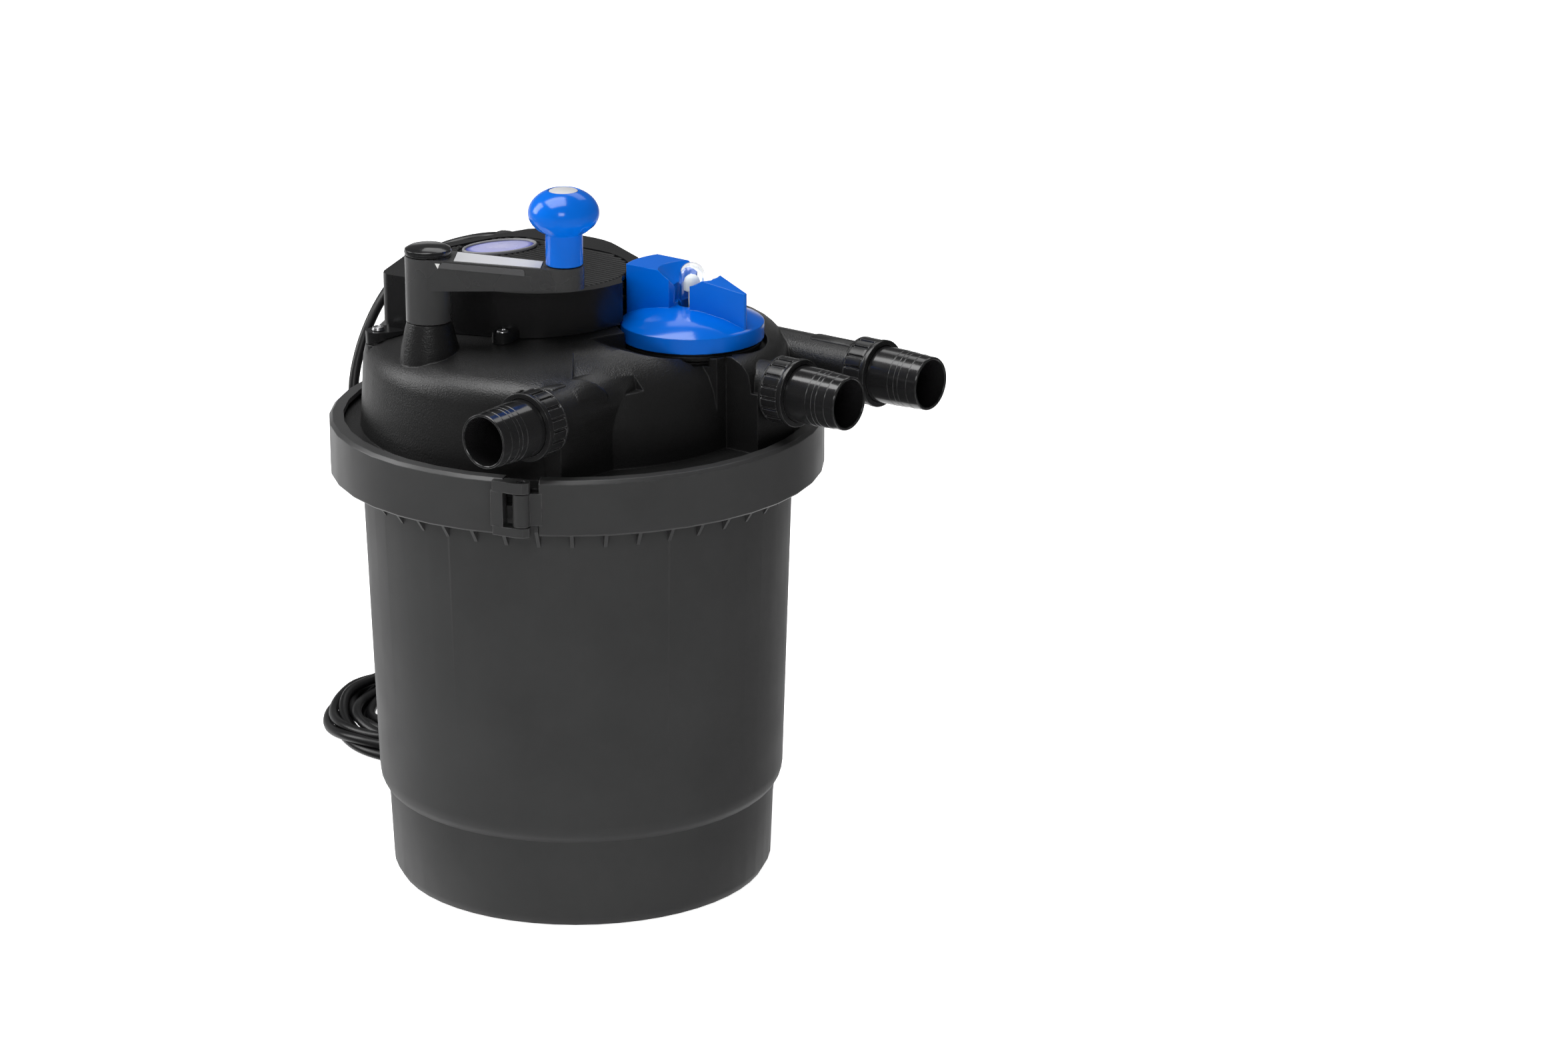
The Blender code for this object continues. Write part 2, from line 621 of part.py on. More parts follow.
def lid(materials):
    crown_points = [(r, crown(r, 0.0)) for r in (0.0, 40.0, 70.0, 95.0, SHOULDER_RADIUS)]
    shoulder = ((122.5, 339.6), (127.0, 334.6), (128.6, 328.0))
    profile = crown_points + list(shoulder)
    profile += [(DOME_RADIUS, LID_FLANGE_TOP), (FLANGE_RADIUS, LID_FLANGE_TOP)]
    profile += [(FLANGE_RADIUS, LID_FLANGE_BOTTOM), (0.0, LID_FLANGE_BOTTOM)]
    body = add_object("lid", turned(profile, 48), materials["lid"])

    # Pocket at the front right with a rounded shoulder, and the dish that the dial sits in
    cut(body, "pocket", prism(pocket_outline(0.0), LID_FLANGE_TOP - 0.3, 366.0))
    cut(body, "pocket_shoulder", sector(POCKET_EDGE, -51.0, -1.0, step=7.0))
    cut(body, "front_slope", front_slope(0.0))
    cut(body, "pipe_back", pipe_back(0.0))
    x, y = CONNECTORS["front"][0]
    room = cylinder(NUT_ROOM, -NUT_LENGTH - 0.6, 20.0, segments=28)
    cut(body, "front_nut_room", lying(room, (x, y, PORT_HEIGHT), -90.0))
    cut(body, "dish", cylinder(DISH_RADIUS, DISH_FLOOR, 367.0, VALVE, 32, DISH_RADIUS + 3.0))

    # Valve tower, pipe stubs, and the webs under them
    tower = ((0.0, 300.0), (TOWER_RADIUS, 300.0), (TOWER_RADIUS, 338.4), (41.5, 340.4), (41.5, TOWER_TOP))
    tower += ((0.0, TOWER_TOP),)
    unite(body, "tower", turned(tower, 32, centre=VALVE))
    for name, ((x, y), heading) in CONNECTORS.items():
        stub = cylinder(STUB_RADIUS, -STUB_REACH[name], -STUB_SETBACK, segments=20)
        unite(body, f"{name}_stub", lying(stub, (x, y, PORT_HEIGHT), heading))
    pipe = cylinder(FRONT_PIPE_RADIUS, -70.0, -NUT_LENGTH - 1.2, segments=32)
    unite(body, "front_pipe", lying(pipe, (*CONNECTORS["front"][0], PORT_HEIGHT), -90.0))
    web = ((50.5, -66.0), (54.5, -110.8), (WEB_FACE - 4.4, -110.8), (WEB_FACE, -69.5), (WEB_FACE, -66.0))
    unite(body, "front_web", prism(web, 284.0, PORT_HEIGHT))
    web = ((96.0, WEB_SIDE), (133.5, WEB_SIDE), (133.5, 42.5), (96.0, 42.5))
    unite(body, "side_web", prism(web, 284.0, PORT_HEIGHT))
    web = ((88.0, 74.5), (118.3, 74.5), (107.0, 90.0), (94.0, 103.5), (88.0, 103.5))
    unite(body, "rear_web", prism(web, 284.0, PORT_HEIGHT))

    # Crank boss, centre boss and the boss of the corner screw
    boss = turned(((0.0, 336.0), (18.5, 336.0), (17.0, 350.0), (13.4, 364.9), (0.0, 364.9)), 20, centre=CRANK)
    unite(body, "crank_boss", boss)
    unite(body, "centre_boss", cylinder(CENTRE_BOSS_RADIUS, 340.0, 358.0, segments=20))
    x, y, z = COVER_SCREWS["corner"]
    unite(body, "corner_boss", cylinder(7.5, 325.0, z - 1.5, (x, y), 14))

    lid_hollow(body)
    cut(body, "chamber", cylinder(CHAMBER_RADIUS, CHAMBER_FLOOR, 350.0, VALVE, 24))
    cut(body, "drain", cylinder(9.0, 300.0, 315.0, (VALVE[0] - 12.0, VALVE[1]), 12))
    for name, ((x, y), heading) in CONNECTORS.items():
        bore = lying(cylinder(STUB_BORE, -BORE_REACH[name], 4.0, segments=14), (x, y, PORT_HEIGHT), heading)
        cut(body, f"{name}_bore", bore)
    seat = ((0.0, 300.0), (6.6, 300.0), (6.6, 360.6), (10.0, 360.6), (10.0, 372.0), (0.0, 372.0))
    cut(body, "shaft_bore", turned(seat, 16, centre=CRANK))
    seat = ((0.0, 330.0), (14.7, 330.0), (14.7, 354.5), (19.2, 354.5), (19.2, 365.0), (0.0, 365.0))
    cut(body, "sleeve_bore", turned(seat, 20))
    for name, (x, y, z) in COVER_SCREWS.items():
        cut(body, f"{name}_thread", cylinder(2.3, z - 7.0, z + 9.0, (x, y), 6))
    return body


# ---------------------------------------------------------------- lamp cover


def hull_of(points):
    return [points[k] for k in geometry.convex_hull_2d([Vector(p) for p in points])]


def uv_cover(materials):
    outline = wrapped(COVER_CIRCLES)
    cover = add_object("uv_cover", prism(outline, 330.0, COVER_TOP), materials["cover"])
    # Ears for the two corner screws, feet for the two wall screws
    for name in ("corner", "tip"):
        x, y, z = COVER_SCREWS[name]
        toward = Vector((-40.0 - x, -5.0 - y)).normalized()
        across = Vector((-toward.y, toward.x))
        ends = [polar(7.5, a, (x, y)) for a in range(0, 360, 20)]
        ends += [tuple(Vector((x, y)) + toward * 16.0 + across * s) for s in (-9.0, 9.0)]
        unite(cover, f"{name}_ear", prism(hull_of(ends), 331.0, z + 6.5))
    cut(cover, "cover_void", prism(wrapped(COVER_CIRCLES, COVER_WALL), 320.0, COVER_TOP - COVER_WALL))
    for name, inward in (("front", 1.0), ("back", -1.0)):
        x, y, z = COVER_SCREWS[name]
        block = [polar(6.6, a, (x, y)) for a in range(0, 360, 24)]
        block += [(x - 6.6, y + inward * 9.0), (x + 6.6, y + inward * 9.0)]
        unite(cover, f"{name}_foot", prism(hull_of(block), 332.0, z + 5.2))
        cut(cover, f"{name}_seat", cylinder(4.9, z + 3.4, z + 7.6, (x, y), 16))
    # The foot follows the lid's crown, and the side stays clear of the dial
    rise = [(r, crown(r, 0.0) + 0.5) for r in (0.0, 40.0, 70.0, 95.0, SHOULDER_RADIUS)]
    rise += [(126.0, 340.0), (150.0, 340.0), (150.0, 300.0), (0.0, 300.0)]
    cut(cover, "crown_shape", turned(rise, 48))
    cut(cover, "dial_rim_room", cylinder(DIAL_RADIUS + 0.8, 310.0, DIAL_RIM_TOP + 1.2, VALVE, 36))
    cut(cover, "dial_wing_room", cylinder(WING_RADIUS + 0.8, 309.0, 400.0, VALVE, 36))
    # Recessed panel for the ribs, the window, and the holes
    panel = wrapped(((-18.0, -8.0, 52.0), (-66.0, 18.0, 25.0), (-56.0, -18.0, 42.0)))
    cut(cover, "panel", prism(panel, COVER_TOP - 1.2, COVER_TOP + 5.0))
    cut(cover, "window", cylinder(WINDOW_RADIUS, COVER_TOP - 9.0, COVER_TOP + 6.0, WINDOW, 24))
    for name, (x, y, z) in COVER_SCREWS.items():
        cut(cover, f"{name}_hole", cylinder(2.4, z - 12.0, z + 12.0, (x, y), 8))
    hole = lying(cylinder(6.4, 4.0, 20.0, segments=16), (TIP[0], TIP[1], GLAND_HEIGHT), GLAND_HEADING)
    cut(cover, "gland_hole", hole)
    return cover


def cover_screws(materials):
    for name, (x, y, z) in COVER_SCREWS.items():
        seat = z + (6.5 if name in ("corner", "tip") else 3.4) + GAP
        profile = (
            (0.0, seat - 7.0),
            (2.0, seat - 7.0),
            (2.0, seat),
            (4.0, seat),
            (3.4, seat + 1.8),
            (1.6, seat + 2.3),
            (1.2, seat + 1.4),
            (0.0, seat + 1.4),
        )
        add_object(f"cover_screw_{name}", turned(profile, 14, centre=(x, y)), materials["steel"])


def badge_and_window(materials):
    centre = Vector(BADGE_CENTRE)
    along = Vector(polar(1.0, BADGE_TURN))
    across = Vector((-along.y, along.x))
    outline = []
    for k in range(32):
        angle = math.tau * k / 32
        point = centre + along * 24.5 * math.cos(angle) + across * 15.0 * math.sin(angle)
        outline.append(tuple(point))
    level = COVER_TOP - 1.2 + GAP
    add_object("badge", prism(outline, level, level + 1.9), materials["badge"])
    profile = ((0.0, 375.2), (7.2, 375.2), (7.6, 378.6), (5.2, 379.8), (0.0, 380.2))
    add_object("indicator_window", turned(profile, 24, centre=WINDOW), materials["clear"])


def lamp_parts(materials):
    sleeve = ((0.0, 86.0), (11.0, 86.9), (14.2, 90.6), (14.2, 354.8), (18.6, 354.8), (18.6, 357.4))
    sleeve += ((12.6, 357.4), (12.6, 92.0), (10.0, 88.6), (0.0, 87.5))
    mesh = turned(sleeve, 20)
    add_object("quartz_sleeve", mesh, materials["clear"])
    nut = ((9.0, 358.4), (24.0, 358.4), (24.0, 361.6), (22.5, 362.4), (9.0, 362.4))
    add_object("sleeve_nut", turned(nut, 24), materials["white"])
    lamp = ((0.0, 112.0), (5.0, 112.6), (7.5, 116.0), (7.5, 362.8), (0.0, 362.8))
    add_object("uv_lamp", turned(lamp, 20), materials["white"])
    socket = ((0.0, 363.2), (12.5, 363.2), (12.5, 373.0), (10.5, 374.5), (0.0, 374.5))
    add_object("lamp_socket", turned(socket, 24), materials["grey"])
    add_object("ballast", box((-88.0, -26.0, 354.5), (-44.0, 30.0, 373.0)), materials["grey"])


def gland(materials):
    place = (TIP[0], TIP[1], GLAND_HEIGHT)
    body = ((0.0, 8.5), (6.0, 8.5), (6.0, 15.5), (9.0, 15.5), (9.0, 22.5), (6.0, 22.5), (6.0, 26.0))
    body += ((0.0, 26.0),)
    add_object("gland_body", lying(turned(body, 6), place, GLAND_HEADING), materials["brass"])
    nut = ((0.0, 38.6), (4.0, 38.6), (6.4, 37.5), (8.6, 33.0), (8.6, 23.0), (6.4, 23.0), (6.4, 27.0))
    nut += ((0.0, 27.0),)
    add_object("gland_nut", lying(turned(nut, 20), place, GLAND_HEADING), materials["brass"])


# ---------------------------------------------------------------- connectors


def connectors(materials, axes):
    for name, ((x, y), heading) in CONNECTORS.items():
        place = (x, y, PORT_HEIGHT)
        tail = (
            (STUB_BORE, -5.1),
            (18.2, -5.1),
            (18.2, -2.9),
            (TAIL_ROOT_RADIUS, -2.9),
            (TAIL_ROOT_RADIUS, 9.0),
            (TAIL_RADIUS, TAIL_LENGTH),
            (TAIL_RADIUS - 1.6, TAIL_LENGTH),
            (TAIL_RADIUS - 1.8, 9.0),
        )
        add_object(f"hose_tail_{name}", lying(turned(tail, 26), place, heading), materials["gloss_black"])
        gasket = ((STUB_BORE + 0.4, -7.1), (15.0, -7.1), (15.0, -5.4), (STUB_BORE + 0.4, -5.4))
        add_object(f"gasket_{name}", lying(turned(gasket, 20), place, heading), materials["rubber"])
        nut = (
            (STUB_RADIUS + 0.5, -NUT_LENGTH),
            (NUT_RADIUS - 0.6, -NUT_LENGTH),
            (NUT_RADIUS, -NUT_LENGTH + 1.4),
            (NUT_RADIUS, 0.0),
            (TAIL_ROOT_RADIUS + 0.4, 0.0),
            (TAIL_ROOT_RADIUS + 0.4, -2.6),
            (18.6, -2.6),
            (18.6, -13.0),
            (STUB_RADIUS + 0.5, -13.0),
        )
        add_object(f"union_nut_{name}", turned(nut, 24), materials["nut"], axes[name])


# ---------------------------------------------------------------- selector dial


def dial(materials, axis):
    """The dial, its clear dome, its seal and the rotor under it, all about the valve's axis."""
    bore = SIGHT_RADIUS + 0.4
    profile = [(bore, DIAL_BOTTOM), (DIAL_RADIUS, DIAL_BOTTOM), (DIAL_RADIUS, DIAL_RIM_TOP - 1.0)]
    profile.append((DIAL_RADIUS - 1.2, DIAL_RIM_TOP))
    rise = DIAL_CENTRE_TOP - DIAL_RIM_TOP
    for radius in (30.0, 16.0, bore):
        share = (radius - bore) / (DIAL_RADIUS - bore)
        profile.append((radius, DIAL_RIM_TOP + rise * math.cos(math.pi / 2 * share)))
    body = add_object("selector_dial", turned(profile, 36), materials["blue"], axis)

    outer = [polar(WING_RADIUS, a) for a in range(159, 202, 6)]
    high_wing = outer + [(-6.0, -14.5), (-6.0, 14.5)]
    unite(body, "high_wing", prism(high_wing, 352.0, 386.0))
    low_wing = [(7.0, -11.0), (40.6, -1.2), (41.0, 0.0), (40.6, 1.2), (7.0, 11.0)]
    unite(body, "low_wing", prism(low_wing, 352.0, lambda x, y: 385.6 - 0.21 * x))
    cone = ((0.0, 366.0), (10.6, 366.0), (10.6, 376.2), (20.6, 386.2), (25.0, 390.6), (0.0, 390.6))
    cut(body, "wing_gap", turned(cone, 28, start=2.0))
    cut(body, "sight_bore", cylinder(bore + 0.02, 340.0, 372.0, segments=36))

    arc = [(SIGHT_RADIUS * math.cos(a), SIGHT_TOP - SIGHT_RADIUS + SIGHT_RADIUS * math.sin(a))
           for a in [math.radians(t) for t in (0, 22, 45, 67)]]
    dome = [(0.0, 347.0), (SIGHT_RADIUS, 347.0)] + arc + [(0.0, SIGHT_TOP)]
    add_object("sight_dome", turned(dome, 24), materials["clear"], axis)

    rotor = ((0.0, 312.0), (29.4, 312.0), (29.4, 340.5), (20.0, 341.5), (20.0, 344.4), (0.0, 344.4))
    plug = add_object("valve_rotor", turned(rotor, 28), materials["cage"], axis)
    height = PORT_HEIGHT
    cut(plug, "rotor_port", lying(cylinder(11.5, 0.0, 40.0, segments=20), (0.0, 0.0, height), 0.0))
    cut(plug, "rotor_cross_port", lying(cylinder(11.5, 0.0, 40.0, segments=20), (0.0, 0.0, height), -90.0))


def dial_seal(materials):
    seal = ((30.6, 343.3), (41.0, 343.3), (41.0, 344.7), (30.6, 344.7))
    add_object("dial_seal", turned(seal, 26, centre=VALVE), materials["rubber"])


# ---------------------------------------------------------------- crank


def crank(materials, axis, knob_axis):
    """The crank with its cap, inlay, shaft and pinion about its own axis, and the knob about the spindle."""
    end = polar(CRANK_THROW, CRANK_ANGLE)
    hub = ((0.0, HUB_BOTTOM), (HUB_RADIUS, HUB_BOTTOM), (HUB_RADIUS, HUB_TOP), (0.0, HUB_TOP))
    arm = add_object("crank_arm", turned(hub, 28), materials["cover"], axis)
    along = Vector(end).normalized()
    across = Vector((-along.y, along.x))

    def arm_top(x, y):
        share = Vector((x, y)).dot(along) / CRANK_THROW
        return HUB_TOP + 0.3 + (ARM_END_TOP - HUB_TOP) * share

    corners = [across * -13.5, along * 76.0 - across * 9.4]
    corners += [along * 76.0 + across * 9.4, across * 13.5]
    unite(arm, "arm_bar", prism([tuple(c) for c in corners], ARM_BOTTOM, arm_top))
    unite(arm, "arm_socket", cylinder(SOCKET_RADIUS, ARM_BOTTOM, SOCKET_TOP, end, 24))
    groove = [along * 16.0 - across * 10.9, along * 67.5 - across * 8.0]
    groove += [along * 67.5 + across * 8.0, along * 16.0 + across * 10.9]
    groove_points = [tuple(c) for c in groove]
    cut(arm, "inlay_groove", prism(groove_points, lambda x, y: arm_top(x, y) - 1.3, 420.0))
    cut(arm, "hub_bore", cylinder(SHAFT_RADIUS + 0.3, 360.0, 402.0, (0.0, 0.0), 24))
    cut(arm, "spindle_bore", cylinder(4.3, 391.0, 410.0, end, 20))

    inlay = [along * 16.4 - across * 10.5, along * 67.1 - across * 7.6]
    inlay += [along * 67.1 + across * 7.6, along * 16.4 + across * 10.5]
    inlay_points = [tuple(c) for c in inlay]
    strip = prism(inlay_points, lambda x, y: arm_top(x, y) - 1.0, lambda x, y: arm_top(x, y) + 0.3)
    add_object("arm_inlay", strip, materials["grey"], axis)

    cap = ((0.0, HUB_TOP + 0.9), (13.6, HUB_TOP + 0.9), (14.0, HUB_TOP + 2.4), (13.6, HUB_TOP + 4.0))
    cap += ((10.6, HUB_TOP + 5.6), (0.0, HUB_TOP + 6.2))
    add_object("crank_cap", turned(cap, 24), materials["gloss_black"], axis)

    shaft = ((0.0, 288.0), (SHAFT_RADIUS, 288.0), (SHAFT_RADIUS, 401.6), (0.0, 401.6))
    add_object("drive_shaft", turned(shaft, 20), materials["steel"], axis)
    pinion_turn = math.degrees(math.atan2(-CRANK[1], -CRANK[0]))
    outline = gear_outline(PINION_TEETH, pinion_turn + 180.0 / PINION_TEETH, 0.36)
    wheel = add_object("pinion", prism(outline, GEAR_BOTTOM - 1.0, GEAR_TOP + 1.0), materials["white"], axis)
    cut(wheel, "pinion_bore", cylinder(SHAFT_RADIUS + 0.3, 285.0, 310.0, (0.0, 0.0), 20))

    spindle = ((0.0, 391.3), (4.0, 391.3), (4.0, 436.4), (0.0, 436.4))
    add_object("knob_spindle", turned(spindle, 16, centre=end), materials["steel"], axis)

    knob = ((0.0, KNOB_TOP - 1.4), (9.0, KNOB_TOP - 1.4), (9.4, KNOB_TOP), (13.6, 443.0), (17.5, 439.8))
    knob += ((20.2, 435.6), (21.0, 431.2), (19.8, 426.4), (16.6, 422.4), (13.2, 420.1), (11.1, 419.0))
    knob += ((11.0, 417.6), (11.0, 400.3), (4.4, 400.3), (4.4, 437.0), (0.0, 437.0))
    add_object("knob", turned(knob, 26), materials["blue"], knob_axis)
    top = ((0.0, KNOB_TOP - 1.1), (8.5, KNOB_TOP - 1.1), (8.5, KNOB_TOP - 0.4), (7.6, KNOB_TOP))
    top += ((0.0, KNOB_TOP),)
    add_object("knob_cap", turned(top, 24), materials["grey"], knob_axis)


def shaft_seal(materials):
    seal = ((6.5, 361.0), (9.6, 361.0), (9.6, 364.6), (6.5, 364.6))
    add_object("shaft_seal", turned(seal, 24, centre=CRANK), materials["rubber"])


# ---------------------------------------------------------------- foam cage


def gear_outline(teeth, turn, share):
    """A spur gear's outline: straight-sided teeth, each that share of a pitch thick at the pitch circle."""
    pitch_radius = MODULE * teeth / 2.0
    tip = pitch_radius + 0.8 * MODULE
    root = pitch_radius - 1.15 * MODULE
    half = 360.0 / teeth * share / 2.0
    lean = math.degrees(math.tan(math.radians(20.0)) / pitch_radius)
    points = []
    for k in range(teeth):
        middle = turn + 360.0 * k / teeth
        at_tip = half - lean * 0.8 * MODULE
        at_root = half + lean * 1.15 * MODULE
        points.append(polar(root, middle - at_root))
        points.append(polar(tip, middle - at_tip))
        points.append(polar(tip, middle + at_tip))
        points.append(polar(root, middle + at_root))
    return points


def cage(materials, axis):
    """Everything that turns with the foam: gear plate, centre tube, foam discs, tie rods and base plate."""
    toward_crank = math.degrees(math.atan2(CRANK[1], CRANK[0]))
    outline = gear_outline(CAGE_TEETH, toward_crank, 0.36)
    plate = add_object("cage_gear_plate", prism(outline, GEAR_BOTTOM, GEAR_TOP), materials["cage"], axis)
    disc = ((0.0, 287.2), (80.0, 287.2), (80.0, 294.0), (0.0, 294.0))
    unite(plate, "plate_disc", turned(disc, 28))
    cut(plate, "plate_bore", cylinder(26.5, 280.0, 305.0, (0.0, 0.0), 20))
    for k, place in enumerate(ROD_PLACES):
        cut(plate, f"rod_bore_{k}", cylinder(3.3, 284.0, 304.0, place, 8))
        middle = 90.0 + 120.0 * k
        slot = [polar(r, middle + a) for r, a in ((45.0, -26.0), (72.0, -22.0), (72.0, 22.0), (45.0, 26.0))]
        cut(plate, f"flow_slot_{k}", prism(slot, 284.0, 304.0))

    tube = ((TUBE_RADIUS - 3.0, 56.0), (TUBE_RADIUS, 56.0), (TUBE_RADIUS, 286.6), (TUBE_RADIUS - 3.0, 286.6))
    add_object("centre_tube", turned(tube, 24), materials["cage"], axis)

    thickness = (FOAM_TOP - FOAM_BOTTOM) / FOAM_DISCS
    for k in range(FOAM_DISCS):
        low = FOAM_BOTTOM + k * thickness + 0.5
        high = low + thickness - 1.0
        ring = ((FOAM_BORE, low), (FOAM_RADIUS, low), (FOAM_RADIUS, high), (FOAM_BORE, high))
        material = materials["foam_yellow" if k % 2 else "foam_blue"]
        disc = add_object(f"foam_disc_{k + 1}", turned(ring, 28), material, axis)
        for j, place in enumerate(ROD_PLACES):
            cut(disc, f"foam_{k}_hole_{j}", cylinder(4.2, low - 3.0, high + 3.0, place, 6))

    base = ((12.6, 48.0), (FOAM_RADIUS - 4.0, 48.0), (FOAM_RADIUS - 4.0, 52.0), (28.0, 52.0), (28.0, 55.6))
    base += ((17.0, 55.6), (12.6, 50.0))
    bottom = add_object("cage_base_plate", turned(base, 28), materials["cage"], axis)
    rod = ((0.0, 44.0), (5.2, 44.0), (5.2, 47.6), (3.0, 47.6), (3.0, 303.5), (0.0, 303.5))
    for k, place in enumerate(ROD_PLACES):
        cut(bottom, f"base_rod_bore_{k}", cylinder(3.3, 40.0, 60.0, place, 8))
        add_object(f"tie_rod_{k + 1}", turned(rod, 8, centre=place), materials["steel"], axis)


def lid_seal(materials):
    seal = ((133.0, FLANGE_TOP + GAP), (140.5, FLANGE_TOP + GAP), (140.5, LID_FLANGE_BOTTOM - GAP))
    seal += ((133.0, LID_FLANGE_BOTTOM - GAP),)
    add_object("lid_seal", turned(seal, 40), materials["rubber"])


# ---------------------------------------------------------------- cord


def smooth_route(points, spacing):
    """Points at an even spacing on the smooth curve through the given points."""
    given = [Vector(p) for p in points]
    given = [given[0] * 2 - given[1]] + given + [given[-1] * 2 - given[-2]]
    dense = []
    for k in range(1, len(given) - 2):
        a, b, c, d = given[k - 1:k + 3]
        for j in range(24):
            t = j / 24.0
            dense.append(0.5 * (2 * b + (c - a) * t + (2 * a - 5 * b + 4 * c - d) * t * t
                                + (3 * b - a - 3 * c + d) * t * t * t))
    dense.append(given[-2])
    lengths = [0.0]
    for one, two in zip(dense, dense[1:]):
        lengths.append(lengths[-1] + (two - one).length)
    count = max(2, round(lengths[-1] / spacing))
    route = []
    k = 0
    for step in range(count + 1):
        target = lengths[-1] * step / count
        while k < len(dense) - 2 and lengths[k + 1] < target:
            k += 1
        share = (target - lengths[k]) / (lengths[k + 1] - lengths[k])
        route.append(dense[k].lerp(dense[k + 1], share))
    return route


def cord_tube(name, points, material):
    curve = bpy.data.curves.new(name, "CURVE")
    curve.dimensions = "3D"
    curve.bevel_depth = CORD_RADIUS * MM
    curve.bevel_resolution = 2
    curve.use_fill_caps = True
    spline = curve.splines.new("POLY")
    route = smooth_route(points, 6.0 * CORD_RADIUS)
    spline.points.add(len(route) - 1)
    for target, point in zip(spline.points, route):
        target.co = (*(point * MM), 1.0)
    obj = bpy.data.objects.new(name, curve)
    obj.data.materials.append(material)
    bpy.context.scene.collection.objects.link(obj)
    return obj


def cord(materials):
    cord_tube("cord_lead", LEAD_ROUTE, materials["cord"])
    ring = ((COIL_INNER, 4.0), (COIL_INNER + 8.0, 0.05), (COIL_OUTER - 8.0, 0.05), (COIL_OUTER, 5.0))
    ring += ((COIL_OUTER, 19.0), (COIL_OUTER - 8.0, COIL_HEIGHT), (COIL_INNER + 8.0, COIL_HEIGHT))
    ring += ((COIL_INNER, 21.0),)
    add_object("cord_coil", turned(ring, 28, centre=COIL_CENTRE), materials["cord"])
    cord_tube("cord_tail", TAIL_ROUTE, materials["cord"])
    forward = Vector((*polar(1.0, PLUG_HEADING), 0.0))
    plug_back = Vector((*PLUG_BACK, 12.0))
    profile = ((0.0, 0.0), (4.6, 0.0), (6.0, 14.0), (11.6, 20.0), (11.6, 44.0), (10.6, 46.0), (0.0, 46.0))
    body = lying(turned(profile, 24), tuple(plug_back), PLUG_HEADING)
    plug = add_object("mains_plug", body, materials["cord"])
    for k, side in enumerate((-1.0, 1.0)):
        across = Vector((-forward.y, forward.x, 0.0)) * 9.5 * side
        pin = lying(cylinder(2.0, 42.0, 64.0, segments=10), tuple(plug_back + across), PLUG_HEADING)
        unite(plug, f"plug_pin_{k}", pin)


def main():
    clear_scene()
    materials = make_materials()
    hinge_at = polar(HINGE_RADIUS, from_front(HINGE_ANGLE))
    latch_at = polar(BAND_RADIUS + 3.5, from_front(LATCH_ANGLE) + 5.0)
    hinge = axis_empty("band_hinge_axis", (*hinge_at, 0.0))
    latch = axis_empty("latch_axis", (*latch_at, 0.0))
    crank_axis = axis_empty("crank_axis", (*CRANK, 0.0))
    knob_axis = axis_empty("knob_axis", (*polar(CRANK_THROW, CRANK_ANGLE), 0.0), parent=crank_axis)
    cage_axis = axis_empty("cage_axis", (0.0, 0.0, 0.0))
    dial_axis = axis_empty("dial_axis", (*VALVE, 0.0))
    nut_axes = {}
    for name, ((x, y), heading) in CONNECTORS.items():
        empty = axis_empty(f"nut_axis_{name}", (x, y, PORT_HEIGHT))
        turn = Matrix.Rotation(math.radians(heading), 4, "Z") @ Matrix.Rotation(math.pi / 2, 4, "Y")
        empty.rotation_euler = turn.to_euler()
        nut_axes[name] = empty
    canister(materials)
    clamp_band(materials, hinge, latch)
    lid_seal(materials)
    lid(materials)
    uv_cover(materials)
    cover_screws(materials)
    badge_and_window(materials)
    lamp_parts(materials)
    gland(materials)
    connectors(materials, nut_axes)
    dial(materials, dial_axis)
    dial_seal(materials)
    crank(materials, crank_axis, knob_axis)
    shaft_seal(materials)
    cage(materials, cage_axis)
    cord(materials)


main()
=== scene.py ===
import json
import math

import bmesh
import bpy
import numpy as np
from mathutils import Matrix, Vector, geometry

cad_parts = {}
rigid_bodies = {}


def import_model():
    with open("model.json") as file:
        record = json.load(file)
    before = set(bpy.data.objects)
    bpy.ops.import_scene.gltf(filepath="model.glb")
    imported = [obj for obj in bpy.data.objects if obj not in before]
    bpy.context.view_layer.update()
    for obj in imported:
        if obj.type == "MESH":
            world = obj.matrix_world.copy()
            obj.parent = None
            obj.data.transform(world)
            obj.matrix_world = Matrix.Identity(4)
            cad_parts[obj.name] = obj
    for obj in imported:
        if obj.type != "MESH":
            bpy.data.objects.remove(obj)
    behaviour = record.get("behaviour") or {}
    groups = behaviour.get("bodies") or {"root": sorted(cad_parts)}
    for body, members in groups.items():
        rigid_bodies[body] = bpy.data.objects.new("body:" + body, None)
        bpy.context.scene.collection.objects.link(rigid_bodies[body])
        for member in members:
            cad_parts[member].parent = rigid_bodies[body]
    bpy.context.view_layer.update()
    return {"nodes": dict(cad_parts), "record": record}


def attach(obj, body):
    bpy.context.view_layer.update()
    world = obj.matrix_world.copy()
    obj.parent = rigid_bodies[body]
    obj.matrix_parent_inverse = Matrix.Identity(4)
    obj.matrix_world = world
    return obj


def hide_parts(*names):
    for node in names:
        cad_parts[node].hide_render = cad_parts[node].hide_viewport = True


for startup_object in list(bpy.data.objects):
    bpy.data.objects.remove(startup_object)
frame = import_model()

# Looks of the pond filter. Lengths of the object are in millimetres and become metres as each mesh or
# curve is made. The studio, the camera and the patterns in the materials are in metres from the start.
MM = 0.001
WELD = 1e-4  # millimetres


# ---------------------------------------------------------------- small tools


def polar(radius, degrees, centre=(0.0, 0.0)):
    angle = math.radians(degrees)
    return (centre[0] + radius * math.cos(angle), centre[1] + radius * math.sin(angle))


